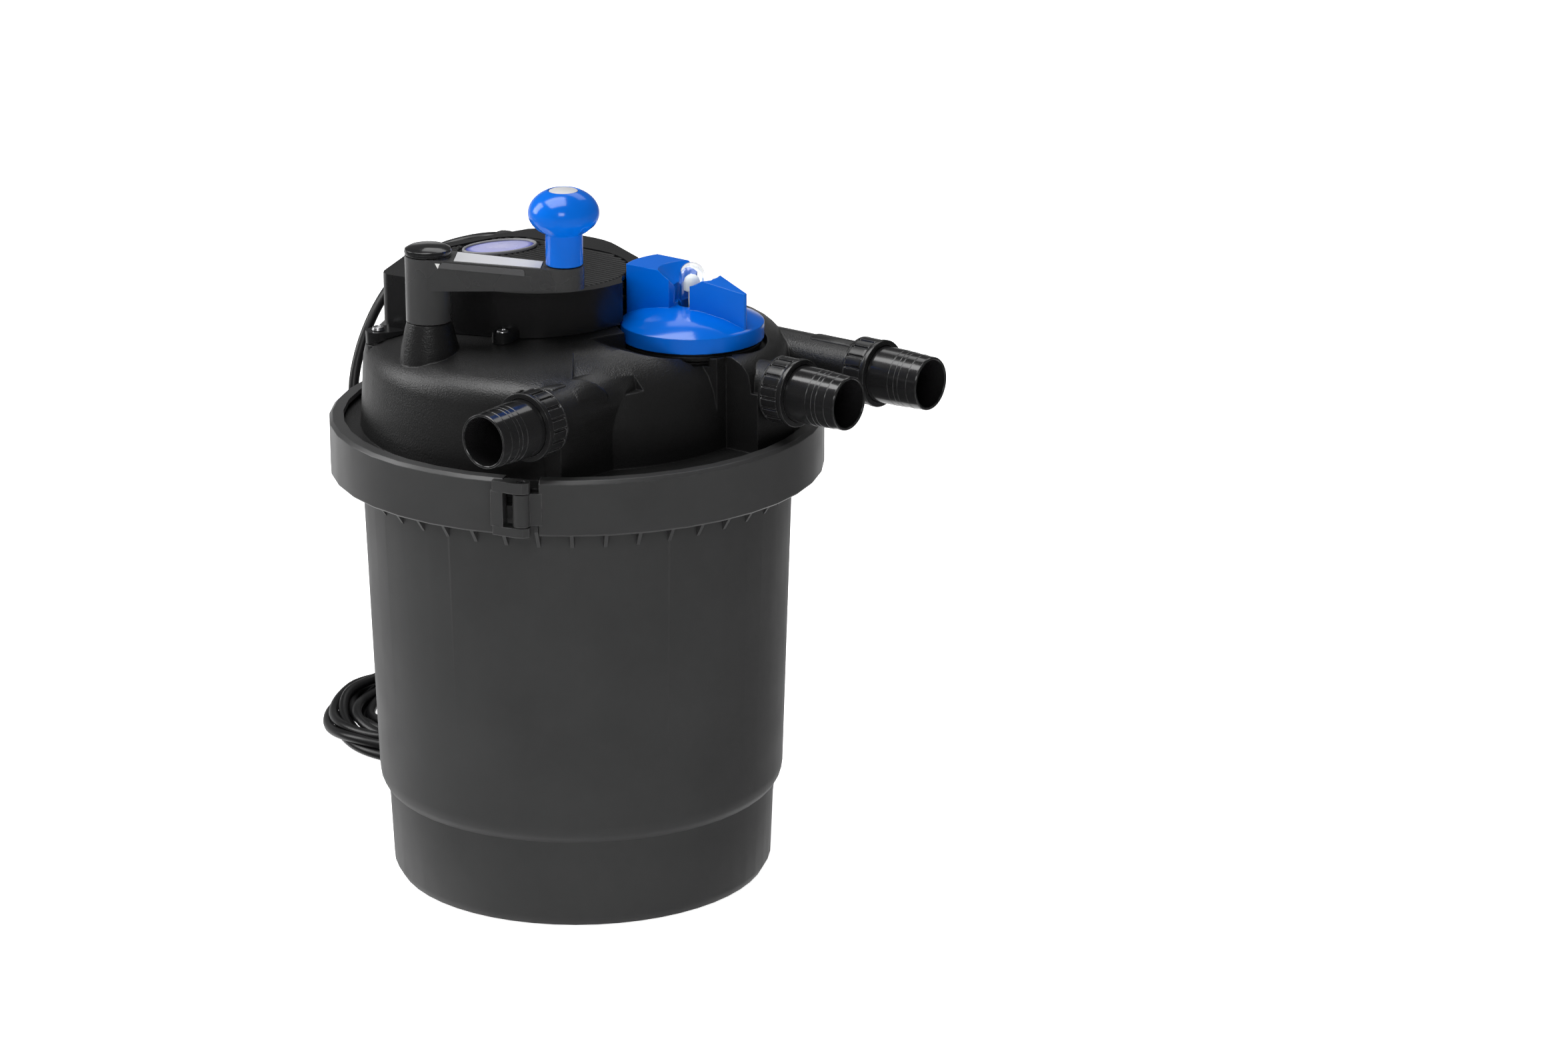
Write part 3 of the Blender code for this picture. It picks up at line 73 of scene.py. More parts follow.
def add_piece(name, mesh, body, material, replaces=(), sharp=32.0):
    """A new piece from a bmesh in millimetres, which rides on a CAD body."""
    bmesh.ops.remove_doubles(mesh, verts=mesh.verts, dist=WELD)
    bmesh.ops.recalc_face_normals(mesh, faces=mesh.faces)
    bmesh.ops.scale(mesh, vec=(MM, MM, MM), verts=mesh.verts)
    data = bpy.data.meshes.new(name)
    mesh.to_mesh(data)
    mesh.free()
    data.shade_smooth()
    data.set_sharp_from_angle(angle=math.radians(sharp))
    obj = bpy.data.objects.new(name, data)
    obj.data.materials.append(material)
    bpy.context.scene.collection.objects.link(obj)
    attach(obj, body)
    if replaces:
        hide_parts(*replaces)
    return obj


def turned(profile, segments=96, centre=(0.0, 0.0), wobble=None):
    """A closed surface of revolution through (radius, z) points.

    A profile that doesn't start and end on the axis is joined to itself, as a tube with a bore.
    wobble(radius, angle, z) may change each point's radius.
    """
    mesh = bmesh.new()
    rings = []
    for radius, z in profile:
        ring = []
        for k in range(1 if radius == 0.0 else segments):
            angle = math.tau * k / segments
            r = wobble(radius, angle, z) if wobble and radius else radius
            x, y = centre[0] + r * math.cos(angle), centre[1] + r * math.sin(angle)
            ring.append(mesh.verts.new((x, y, z)))
        rings.append(ring)
    pairs = list(zip(rings, rings[1:]))
    if profile[0][0] != 0.0 or profile[-1][0] != 0.0:
        pairs.append((rings[-1], rings[0]))
    for lower, upper in pairs:
        for k in range(segments):
            after = (k + 1) % segments
            if len(lower) == 1 and len(upper) == 1:
                continue
            if len(lower) == 1:
                mesh.faces.new((lower[0], upper[k], upper[after]))
            elif len(upper) == 1:
                mesh.faces.new((lower[k], upper[0], lower[after]))
            else:
                mesh.faces.new((lower[k], lower[after], upper[after], upper[k]))
    return mesh


def bridge(mesh, rings, closed):
    """Faces between each loop of vertices and the next, and from the last to the first if closed."""
    pairs = list(zip(rings, rings[1:])) + ([(rings[-1], rings[0])] if closed else [])
    for one, two in pairs:
        for k in range(len(one)):
            after = (k + 1) % len(one)
            mesh.faces.new((one[k], one[after], two[after], two[k]))


def lying(mesh, place, heading):
    """Turns a mesh built along +Z so that it lies along a heading, with its origin at place."""
    turn = Matrix.Rotation(math.radians(heading), 4, "Z") @ Matrix.Rotation(math.pi / 2, 4, "Y")
    bmesh.ops.transform(mesh, matrix=Matrix.Translation(place) @ turn, verts=mesh.verts)
    return mesh


SAMPLES_PER_SPAN = 24


def smooth_line(points, spacing):
    """Points at an even spacing on the Catmull-Rom curve through the given points."""
    given = [Vector(p) for p in points]
    given = [given[0] * 2 - given[1]] + given + [given[-1] * 2 - given[-2]]
    dense = []
    for k in range(1, len(given) - 2):
        a, b, c, d = given[k - 1:k + 3]
        for j in range(SAMPLES_PER_SPAN):
            t = j / SAMPLES_PER_SPAN
            dense.append(0.5 * (2 * b + (c - a) * t + (2 * a - 5 * b + 4 * c - d) * t * t
                                + (3 * b - a - 3 * c + d) * t * t * t))
    dense.append(given[-2])
    steps = [(two - one).length for one, two in zip(dense, dense[1:])]
    marks = np.concatenate([[0.0], np.cumsum(steps)])
    wanted = np.linspace(0.0, marks[-1], max(2, round(marks[-1] / spacing)) + 1)
    columns = [np.interp(wanted, marks, [p[axis] for p in dense]) for axis in range(3)]
    return [Vector(p) for p in zip(*columns)]


# ---------------------------------------------------------------- camera, light and floor


SENSOR_WIDTH = 36.0
LENS = 111.24
CAMERA_PLACE = (1.8226, -2.15306, 1.12297)
CAMERA_DOWN = 17.761
CAMERA_HEADING = 37.7


def add_camera():
    data = bpy.data.cameras.new("camera")
    data.sensor_width = SENSOR_WIDTH
    data.lens = LENS
    camera = bpy.data.objects.new("camera", data)
    camera.location = CAMERA_PLACE
    camera.rotation_euler = (math.radians(90.0 - CAMERA_DOWN), 0.0, math.radians(CAMERA_HEADING))
    bpy.context.scene.collection.objects.link(camera)
    bpy.context.scene.camera = camera


AIM = (0.0, 0.0, 0.25)
SOFTBOXES = (
    ("top_softbox", (-0.4, -0.4, 2.3), (1.5, 1.5), 36.0),
    ("left_softbox", (-2.0, -0.9, 1.3), (0.9, 1.6), 24.0),
    ("back_softbox", (-0.6, 1.6, 2.4), (2.0, 1.0), 10.0),
    ("front_softbox", (1.4, -2.2, 1.7), (0.8, 0.8), 12.0),
)
FLOOR_RADIUS = 14.0
BACKDROP_RADIUS = 14.5


def add_softbox(name, place, size, power):
    data = bpy.data.lights.new(name, "AREA")
    data.shape = "RECTANGLE"
    data.size, data.size_y = size
    data.energy = power
    light = bpy.data.objects.new(name, data)
    light.location = place
    light.rotation_euler = (Vector(AIM) - Vector(place)).to_track_quat("-Z", "Y").to_euler()
    light.visible_camera = False
    bpy.context.scene.collection.objects.link(light)


def add_staged(name, mesh, colour, glow):
    """A glowing white surface that isn't part of the object, and that gloss doesn't mirror."""
    data = bpy.data.meshes.new(name)
    mesh.to_mesh(data)
    mesh.free()
    material = bpy.data.materials.new(f"{name}_paper")
    material.use_nodes = True
    shader = material.node_tree.nodes["Principled BSDF"]
    shader.inputs["Base Color"].default_value = (colour, colour, colour, 1.0)
    shader.inputs["Roughness"].default_value = 0.9
    shader.inputs["Specular IOR Level"].default_value = 0.1
    shader.inputs["Emission Color"].default_value = (1.0, 1.0, 1.0, 1.0)
    shader.inputs["Emission Strength"].default_value = glow
    data.materials.append(material)
    obj = bpy.data.objects.new(name, data)
    obj.visible_glossy = False
    bpy.context.scene.collection.objects.link(obj)
    return obj


GLOW_SIDE = (-0.55, 0.40, -0.73)
GLOW_RANGE = (("From Min", 0.45), ("From Max", 0.92), ("To Min", 0.08), ("To Max", 1.0))


def add_world():
    """Dim, but bright round GLOW_SIDE, which stands for the white floor that gloss doesn't see."""
    world = bpy.data.worlds.new("studio")
    bpy.context.scene.world = world
    world.use_nodes = True
    tree = world.node_tree
    side = tree.nodes.new("ShaderNodeVectorMath")
    side.operation = "DOT_PRODUCT"
    side.inputs[1].default_value = GLOW_SIDE
    tree.links.new(tree.nodes.new("ShaderNodeTexCoord").outputs["Generated"], side.inputs[0])
    glow = tree.nodes.new("ShaderNodeMapRange")
    glow.interpolation_type = "SMOOTHSTEP"
    for name, number in GLOW_RANGE:
        glow.inputs[name].default_value = number
    tree.links.new(side.outputs["Value"], glow.inputs["Value"])
    tree.links.new(glow.outputs["Result"], tree.nodes["Background"].inputs["Strength"])
    tree.nodes["Background"].inputs["Color"].default_value = (1.0, 1.0, 1.0, 1.0)


def add_studio():
    add_world()
    bpy.context.scene.view_settings.view_transform = "Standard"
    for softbox in SOFTBOXES:
        add_softbox(*softbox)
    floor = bmesh.new()
    bmesh.ops.create_circle(floor, cap_ends=True, segments=64, radius=FLOOR_RADIUS)
    add_staged("floor", floor, 0.90, 0.93)
    dome = bmesh.new()
    bmesh.ops.create_icosphere(dome, subdivisions=4, radius=BACKDROP_RADIUS)
    add_staged("backdrop", dome, 0.0, 1.0).visible_diffuse = False


# ---------------------------------------------------------------- materials


class Nodes:
    """Builds one node material step by step. All patterns read Object coordinates, in metres."""

    def __init__(self, name):
        self.material = bpy.data.materials.new(name)
        self.material.use_nodes = True
        self.tree = self.material.node_tree
        self.shader = self.tree.nodes["Principled BSDF"]
        self.where = self.tree.nodes.new("ShaderNodeTexCoord").outputs["Object"]

    def link(self, output, target):
        self.tree.links.new(output, target)

    def set(self, **values):
        for name, value in values.items():
            self.shader.inputs[name.replace("_", " ")].default_value = value

    def mapped(self, scale):
        node = self.tree.nodes.new("ShaderNodeMapping")
        node.inputs["Scale"].default_value = scale
        self.link(self.where, node.inputs["Vector"])
        return node.outputs["Vector"]

    def noise(self, scale, detail=2.0, roughness=0.5, where=None):
        node = self.tree.nodes.new("ShaderNodeTexNoise")
        node.inputs["Scale"].default_value = scale
        node.inputs["Detail"].default_value = detail
        node.inputs["Roughness"].default_value = roughness
        self.link(self.where if where is None else where, node.inputs["Vector"])
        return node.outputs["Fac"]

    def cells(self, scale):
        node = self.tree.nodes.new("ShaderNodeTexVoronoi")
        node.inputs["Scale"].default_value = scale
        self.link(self.where, node.inputs["Vector"])
        return node.outputs["Distance"]

    def ramp(self, value, stops):
        node = self.tree.nodes.new("ShaderNodeValToRGB")
        elements = node.color_ramp.elements
        while len(elements) < len(stops):
            elements.new(0.5)
        for element, (at, colour) in zip(elements, stops):
            element.position = at
            element.color = (*colour, 1.0)
        self.link(value, node.inputs["Fac"])
        return node.outputs["Color"]

    def spread(self, value, low, high, start=0.3, end=0.7):
        node = self.tree.nodes.new("ShaderNodeMapRange")
        for name, number in (("From Min", start), ("From Max", end), ("To Min", low), ("To Max", high)):
            node.inputs[name].default_value = number
        self.link(value, node.inputs["Value"])
        return node.outputs["Result"]

    def mix(self, share, one, two):
        node = self.tree.nodes.new("ShaderNodeMix")
        node.data_type = "RGBA"
        self.link(share, node.inputs["Factor"])
        self.link(one, node.inputs["A"])
        if isinstance(two, tuple):
            node.inputs["B"].default_value = (*two, 1.0)
        else:
            self.link(two, node.inputs["B"])
        return node.outputs["Result"]

    def math(self, operation, one, two):
        node = self.tree.nodes.new("ShaderNodeMath")
        node.operation = operation
        for k, value in enumerate((one, two)):
            if isinstance(value, float):
                node.inputs[k].default_value = value
            else:
                self.link(value, node.inputs[k])
        return node.outputs["Value"]

    def rounded_edge(self, radius):
        node = self.tree.nodes.new("ShaderNodeBevel")
        node.samples = 6
        node.inputs["Radius"].default_value = radius
        return node.outputs["Normal"]

    def bump(self, height, strength, distance, normal=None):
        node = self.tree.nodes.new("ShaderNodeBump")
        node.inputs["Strength"].default_value = strength
        node.inputs["Distance"].default_value = distance
        self.link(height, node.inputs["Height"])
        if normal is not None:
            self.link(normal, node.inputs["Normal"])
        return node.outputs["Normal"]

    def edge_share(self, normal):
        """About 1 on a rounded edge and 0 on a flat face."""
        true = self.tree.nodes.new("ShaderNodeNewGeometry").outputs["True Normal"]
        dot = self.tree.nodes.new("ShaderNodeVectorMath")
        dot.operation = "DOT_PRODUCT"
        self.link(true, dot.inputs[0])
        self.link(normal, dot.inputs[1])
        return self.spread(dot.outputs["Value"], 1.0, 0.0, 0.80, 0.985)


def plastic(name, colour, roughness, grain=900.0, depth=0.05, edge=0.0008, wear_and_highlight=None, coat=0.0, tint=0.08,
            level=0.5):
    """Moulded plastic: mottled colour, uneven gloss and fine grain.

    edge is the radius that shading gives to edges, or 0 for none. The argument after it is a lighter colour
    painted on those edges: a painted highlight, broken into patches like scuffs, so it needs an edge.
    """
    n = Nodes(name)
    low = tuple(c * (1.0 - tint) for c in colour)
    high = tuple(min(1.0, c * (1.0 + tint)) for c in colour)
    base = n.ramp(n.noise(14.0, 4.0, 0.6), ((0.3, low), (0.7, high)))
    normal = n.rounded_edge(edge) if edge else None
    # Painted highlight: rounded edges get a lighter colour, in patches like scuffs.
    if wear_and_highlight is not None:
        patches = n.spread(n.noise(160.0, 4.0, 0.7), 0.0, 1.0, 0.35, 0.62)
        edge_highlight_share = n.math("MULTIPLY", n.edge_share(normal), patches)
        base = n.mix(edge_highlight_share, base, wear_and_highlight)
    n.link(base, n.shader.inputs["Base Color"])
    smears = n.noise(22.0, 3.0, 0.55)
    n.link(n.spread(smears, roughness - 0.03, roughness + 0.05), n.shader.inputs["Roughness"])
    n.link(n.bump(n.noise(grain, 2.0, 0.55), depth, 0.0004, normal), n.shader.inputs["Normal"])
    n.set(Specular_IOR_Level=level)
    if coat:
        n.set(Coat_Weight=coat, Coat_Roughness=0.08)
    return n.material


def metal(name, colour, roughness):
    n = Nodes(name)
    brushed = n.noise(400.0, 3.0, 0.6, n.mapped((1.0, 1.0, 0.08)))
    darker = tuple(c * 0.8 for c in colour)
    n.link(n.ramp(brushed, ((0.25, darker), (0.75, colour))), n.shader.inputs["Base Color"])
    n.link(n.spread(n.noise(60.0, 4.0), roughness - 0.06, roughness + 0.12), n.shader.inputs["Roughness"])
    n.link(n.bump(brushed, 0.08, 0.0002, n.rounded_edge(0.0004)), n.shader.inputs["Normal"])
    n.set(Metallic=1.0)
    return n.material


def foam(name, colour):
    n = Nodes(name)
    pores = n.cells(420.0)
    # Painted shade: the pores are darkened as if shade falls into the holes.
    darker = tuple(c * 0.25 for c in colour)
    n.link(n.ramp(pores, ((0.05, darker), (0.6, colour))), n.shader.inputs["Base Color"])
    n.link(n.bump(pores, 0.9, 0.0018), n.shader.inputs["Normal"])
    n.set(Roughness=0.95, Specular_IOR_Level=0.1)
    return n.material


def clear_plastic(name):
    n = Nodes(name)
    n.link(n.spread(n.noise(70.0, 3.0), 0.01, 0.07), n.shader.inputs["Roughness"])
    haze = n.ramp(n.noise(25.0), ((0.3, (0.93, 0.96, 0.98)), (0.7, (1.0, 1.0, 1.0))))
    n.link(haze, n.shader.inputs["Base Color"])
    n.link(n.bump(n.noise(220.0, 2.0), 0.05, 0.0003), n.shader.inputs["Normal"])
    n.set(Transmission_Weight=1.0, IOR=1.49)
    return n.material


def badge_print_and_shade(name):
    """A pale printed face that darkens to deep blue and near black towards the rim, on the badge's ellipse.
    The darkening is painted shade under the rim.
    """
    centre, turn, long, short = BADGE
    half_length, half_width = long - 1.6, short - 1.6
    n = Nodes(name)
    node = n.tree.nodes.new("ShaderNodeMapping")
    node.vector_type = "TEXTURE"
    node.inputs["Location"].default_value = (centre[0] * MM, centre[1] * MM, 0.0)
    node.inputs["Rotation"].default_value = (0.0, 0.0, math.radians(turn))
    node.inputs["Scale"].default_value = (half_length * MM, half_width * MM, 1000.0)
    n.link(n.where, node.inputs["Vector"])
    length = n.tree.nodes.new("ShaderNodeVectorMath")
    length.operation = "LENGTH"
    n.link(node.outputs["Vector"], length.inputs[0])
    # Painted shade: the face darkens towards the rim that stands above it.
    face = n.ramp(length.outputs["Value"], ((0.0, (0.60, 0.60, 0.86)), (0.80, (0.47, 0.48, 0.83)),
                                            (0.92, (0.10, 0.12, 0.52)), (1.0, (0.01, 0.015, 0.16))))
    n.link(face, n.shader.inputs["Base Color"])
    n.link(n.spread(n.noise(50.0, 4.0), 0.18, 0.34), n.shader.inputs["Roughness"])
    n.link(n.bump(n.noise(700.0), 0.03, 0.0003), n.shader.inputs["Normal"])
    n.set(Coat_Weight=0.5, Coat_Roughness=0.06)
    return n.material


def make_materials():
    # Where a plastic has a colour after its edge radius, that colour is a painted highlight on its edges.
    return {
        "canister": plastic("canister_plastic", (0.042, 0.042, 0.0425), 0.46, 1100.0, 0.06, 0.0),
        "band": plastic("band_plastic", (0.046, 0.046, 0.0465), 0.32, 900.0, 0.05, 0.0009,
                        (0.14, 0.14, 0.14)),
        "lid": plastic("lid_plastic", (0.0115, 0.0115, 0.0117), 0.36, 1000.0, 0.60, 0.0014,
                       (0.03, 0.03, 0.03)),
        "cover": plastic("cover_plastic", (0.0095, 0.0095, 0.010), 0.24, 900.0, 0.05, 0.0),
        "crank": plastic("crank_plastic", (0.052, 0.052, 0.0525), 0.26, 900.0, 0.04, 0.0),
        "gloss_black": plastic("gloss_black", (0.012, 0.012, 0.0125), 0.16, 500.0, 0.04, 0.0007,
                               (0.22, 0.22, 0.22), 0.3),
        "nut": plastic("nut_plastic", (0.013, 0.013, 0.0135), 0.22, 700.0, 0.05, 0.0005,
                       (0.24, 0.24, 0.24)),
        "rubber": plastic("seal_rubber", (0.010, 0.010, 0.010), 0.72, 600.0, 0.2, 0.0004),
        "blue": plastic("blue_plastic", (0.0, 0.155, 0.76), 0.13, 600.0, 0.015, 0.0008,
                        (0.01, 0.24, 0.90), tint=0.05),
        "clear": clear_plastic("clear_plastic"),
        "grey": plastic("grey_plastic", (0.66, 0.66, 0.67), 0.36, 800.0, 0.05, 0.0004),
        "steel": metal("zinc_steel", (0.55, 0.55, 0.56), 0.28),
        "gland": metal("nickel_brass", (0.74, 0.72, 0.66), 0.24),
        "foam_blue": foam("foam_blue", (0.03, 0.09, 0.34)),
        "foam_yellow": foam("foam_yellow", (0.60, 0.46, 0.10)),
        "cage": plastic("cage_plastic", (0.03, 0.03, 0.032), 0.46, 700.0, 0.05, 0.0006),
        "white": plastic("white_plastic", (0.80, 0.80, 0.78), 0.34, 700.0, 0.03, 0.0004, tint=0.04),
        "cord": plastic("cord_sheath", (0.006, 0.006, 0.0065), 0.36, 1500.0, 0.10, 0.0),
        "badge": badge_print_and_shade("badge_print_and_shade"),
        "badge_rim": plastic("badge_rim_grey", (0.26, 0.26, 0.27), 0.34, 600.0, 0.04, 0.0003),
        "rib": plastic("rib_plastic", (0.004, 0.004, 0.0042), 0.50, 900.0, 0.06, 0.0003, level=0.3),
        "arm_wedge": plastic("arm_wedge_plastic", (0.10, 0.10, 0.102), 0.34, 900.0, 0.05, 0.0004),
        "lens": plastic("lens_plastic", (0.34, 0.36, 0.42), 0.12, 600.0, 0.03, 0.0003, coat=0.6),
    }


# ---------------------------------------------------------------- CAD nodes that stay


SHARP_TURN = 33.0
NODE_WELD = 0.00002


def smoothing_group():
    """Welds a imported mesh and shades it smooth, but sharp where its faces turn by over SHARP_TURN."""
    group = bpy.data.node_groups.new("weld_and_smooth", "GeometryNodeTree")
    group.interface.new_socket("Mesh", in_out="INPUT", socket_type="NodeSocketGeometry")
    group.interface.new_socket("Mesh", in_out="OUTPUT", socket_type="NodeSocketGeometry")
    add = group.nodes.new
    start, end = add("NodeGroupInput"), add("NodeGroupOutput")
    weld = add("GeometryNodeMergeByDistance")
    weld.inputs["Distance"].default_value = NODE_WELD
    faces, edges = add("GeometryNodeSetShadeSmooth"), add("GeometryNodeSetShadeSmooth")
    edges.domain = "EDGE"
    edges.inputs["Shade Smooth"].default_value = False
    angle, above = add("GeometryNodeInputMeshEdgeAngle"), add("FunctionNodeCompare")
    above.inputs["B"].default_value = math.radians(SHARP_TURN)
    link = group.links.new
    link(start.outputs[0], weld.inputs["Geometry"])
    link(weld.outputs["Geometry"], faces.inputs["Geometry"])
    link(faces.outputs["Geometry"], edges.inputs["Geometry"])
    link(angle.outputs["Unsigned Angle"], above.inputs["A"])
    link(above.outputs["Result"], edges.inputs["Selection"])
    link(edges.outputs["Geometry"], end.inputs[0])
    return group


def finish_cad_nodes(materials):
    slots = {row["node"]: row["material_slot"] for row in frame["record"]["subparts"]}
    group = smoothing_group()
    for name, obj in frame["nodes"].items():
        if "custom_normal" in obj.data.attributes:
            obj.data.attributes.remove(obj.data.attributes["custom_normal"])
        obj.modifiers.new("weld_and_smooth", "NODES").node_group = group
        obj.data.materials.clear()
        # The arm is lighter than the rest of its slot.
        slot = "crank" if name == "crank_arm" else slots[name]
        obj.data.materials.append(materials.get(slot, materials["grey"]))


# ---------------------------------------------------------------- mains lead

CORD_RADIUS = 3.25
CORD_SPACING = 5.5
# The lead's centre line from the cable gland down to the top of the coil
LEAD_ROUTE = (
    (-106.8, 71.4, 363.0),
    (-115.5, 77.0, 363.0),
    (-127.0, 84.2, 362.3),
    (-142.0, 88.0, 360.0),
    (-159.5, 83.5, 356.0),
    (-172.5, 70.0, 351.0),
    (-178.5, 51.0, 344.0),
    (-179.5, 33.0, 334.5),
    (-180.0, 16.0, 318.5),
    (-179.5, 2.0, 298.0),
    (-176.5, -8.0, 276.0),
    (-171.0, -11.0, 252.0),
    (-166.0, -5.5, 226.0),
    (-163.2, 7.7, 195.0),
    (-163.8, 23.5, 160.0),
    (-168.7, 39.8, 122.0),
    (-175.6, 53.0, 88.0),
    (-182.5, 63.0, 60.0),
    (-184.2, 71.4, 41.0),
    (-178.4, 81.1, 31.5),
    (-167.4, 90.1, 29.8),
)
COIL_CENTRE = (-225.0, 140.7)
COIL_LIMITS = (60.6, 89.4, 3.35, 22.7)  # inner and outer radius, then lowest and highest centre line
COIL_START = (76.7, 29.8)               # radius and height where the lead comes in from above
COIL_END = (89.4, 12.0)
COIL_ANGLES = (-41.3, -10.0)
COIL_GAP = 0.15
TURNS = 9
STATIONS = 60                           # points in each turn
SETTLING_STEPS = 520
SINK = 0.05                             # how far every turn sinks in a step
SMOOTHING = 0.3
LEAD_IN = 14.0                          # points over which the first turn sinks under the coil's top
PLUG_BACK = (-103.5, 187.8, 12.0)
PLUG_HEADING = 8.0


def settled_coil():
    """The coil's turns: each is a wandering circle, and all are pushed a diameter apart while they sink."""
    start_angle, end_angle = COIL_ANGLES
    count = round((end_angle - start_angle + 360.0 * TURNS) / 360.0 * STATIONS)
    turn = np.arange(count + 1) / STATIONS
    theta = np.radians(start_angle) + turn * math.tau
    rng = np.random.default_rng(7)
    phase = np.interp(turn, np.arange(TURNS + 2), np.cumsum(rng.uniform(1.2, 2.6, TURNS + 2)))
    radius = 75.0 + 9.5 * np.sin(turn * math.tau / 2.3 + 0.4) + 6.5 * np.sin(theta - phase)
    height = 25.0 - 21.0 * turn / turn[-1] + 2.0 * np.sin(2.0 * theta + phase)
    inner, outer, floor, top = COIL_LIMITS
    ease = np.clip(np.arange(len(turn)) / LEAD_IN, 0.0, 1.0)
    for _ in range(SETTLING_STEPS):
        height -= SINK
        for lag in range(STATIONS, len(turn), STATIONS):
            apart_r = radius[lag:] - radius[:-lag]
            apart_z = height[lag:] - height[:-lag]
            distance = np.hypot(apart_r, apart_z) + 1e-6
            push = np.clip(2.0 * CORD_RADIUS + COIL_GAP - distance, 0.0, None) * 0.5 / distance
            radius[lag:] += push * apart_r
            radius[:-lag] -= push * apart_r
            height[lag:] += push * apart_z
            height[:-lag] -= push * apart_z
        for values in (radius, height):
            values[1:-1] += SMOOTHING * (0.5 * (values[:-2] + values[2:]) - values[1:-1])
        radius = np.clip(radius, inner, outer)
        height = np.clip(height, floor, top + (COIL_START[1] - top) * (1.0 - ease))
        radius[0], height[0] = COIL_START
        radius[-1], height[-1] = COIL_END
    xs = COIL_CENTRE[0] + radius * np.cos(theta)
    ys = COIL_CENTRE[1] + radius * np.sin(theta)
    return [tuple(p) for p in zip(xs, ys, height)]


def tail_points():
    """The lead's end, from the coil to the plug's back."""
    heading = math.radians(PLUG_HEADING)
    forward = Vector((math.cos(heading), math.sin(heading), 0.0))
    back = Vector(PLUG_BACK)
    middle = [(-130.5, 161.7, 12.0), (-126.7, 172.1, 12.0), (-119.6, 180.6, 12.0), (-112.0, 185.3, 12.0)]
    return middle + [tuple(back - forward * 0.5)]


def add_lead(materials):
    route = list(LEAD_ROUTE) + settled_coil()[1:] + tail_points()
    line = smooth_line(route, CORD_SPACING)
    curve = bpy.data.curves.new("mains_lead", "CURVE")
    curve.dimensions = "3D"
    curve.bevel_depth = CORD_RADIUS * MM
    curve.bevel_resolution = 4
    curve.use_fill_caps = True
    spline = curve.splines.new("POLY")
    spline.points.add(len(line) - 1)
    for target, point in zip(spline.points, line):
        target.co = (*(point * MM), 1.0)
    lead = bpy.data.objects.new("mains_lead", curve)
    curve.materials.append(materials["cord"])
    bpy.context.scene.collection.objects.link(lead)
    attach(lead, "housing")
    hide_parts("cord_lead", "cord_coil", "cord_tail")
    relief = add_strain_relief(line, materials)
    plug, pins = add_plug(materials)


RELIEF_LENGTH = 34.0
RELIEF_STEPS = 46
RELIEF_SIDES = 32


def add_strain_relief(line, materials):
    """A ribbed sleeve over the start of the lead, which tapers to the cord."""
    start = line[:8]
    steps = [(two - one).length for one, two in zip(start, start[1:])]
    marks = np.concatenate([[0.0], np.cumsum(steps)])

    def along_lead(distance):
        return Vector([np.interp(distance, marks, [p[axis] for p in start]) for axis in range(3)])

    mesh = bmesh.new()
    rings = []
    for k in range(RELIEF_STEPS + 1):
        s = RELIEF_LENGTH * k / RELIEF_STEPS
        point = along_lead(s)
        along = (along_lead(s + 0.6) - point).normalized()
        side = along.cross(Vector((0.0, 0.0, 1.0))).normalized()
        up = side.cross(along)
        rib = 0.45 if k % 4 in (1, 2) and 4 < k < RELIEF_STEPS - 3 else 0.0
        radius = 6.0 - 2.2 * (s / RELIEF_LENGTH) + rib
        angles = [math.tau * j / RELIEF_SIDES for j in range(RELIEF_SIDES)]
        rings.append([mesh.verts.new(point + (side * math.cos(a) + up * math.sin(a)) * radius)
                      for a in angles])
    bridge(mesh, rings, False)
    mesh.faces.new(rings[0])
    mesh.faces.new(rings[-1])
    return add_piece("strain_relief", mesh, "housing", materials["rubber"])


PLUG_NECK_RIBS = 12
PIN_SPREAD = 9.5


def add_plug(materials):
    """A round moulded plug with a ribbed neck and a grooved grip, and its two pins."""
    def grip(radius, angle, z):
        return radius - (0.7 if 22.0 < z < 40.0 and math.cos(14 * angle) > 0.35 else 0.0)

    profile = [(0.0, 0.0), (4.4, 0.0)]
    for k in range(PLUG_NECK_RIBS):
        profile.append((4.6 + 0.13 * k + (0.5 if k % 2 else 0.0), 1.0 + k * 1.15))
    profile += [(7.0, 15.5), (9.6, 17.6), (11.2, 20.0), (11.6, 22.0), (11.6, 23.0), (11.6, 39.0),
                (11.6, 40.5), (11.5, 43.0), (10.8, 45.4), (9.8, 46.0), (0.0, 46.0)]
    body = lying(turned(profile, 84, wobble=grip), PLUG_BACK, PLUG_HEADING)
    plug = add_piece("plug_body", body, "housing", materials["rubber"], ("mains_plug",))
    heading = math.radians(PLUG_HEADING)
    across = Vector((-math.sin(heading), math.cos(heading), 0.0)) * PIN_SPREAD
    mesh = bmesh.new()
    for side in (-1.0, 1.0):
        pin = turned([(0.0, 43.0), (2.0, 43.0), (2.0, 62.4), (1.6, 63.5), (0.9, 64.0), (0.0, 64.0)], 32)
        lying(pin, tuple(Vector(PLUG_BACK) + across * side), PLUG_HEADING)
        data = bpy.data.meshes.new("pin")
        pin.to_mesh(data)
        pin.free()
        mesh.from_mesh(data)
        bpy.data.meshes.remove(data)
    return plug, add_piece("plug_pins", mesh, "housing", materials["steel"])


# ---------------------------------------------------------------- connectors

PORT_HEIGHT = 323.4
# Each hose tail's root, where its nut's front face is, and the way it points.
CONNECTORS = {
    "front": ((68.0, -128.3), -90.0),
    "side": ((151.5, 25.5), 0.0),
    "rear": ((164.5, 89.0), 0.0),
}
NUT_GRIP_RADIUS = 19.6
NUT_RIBS = 18


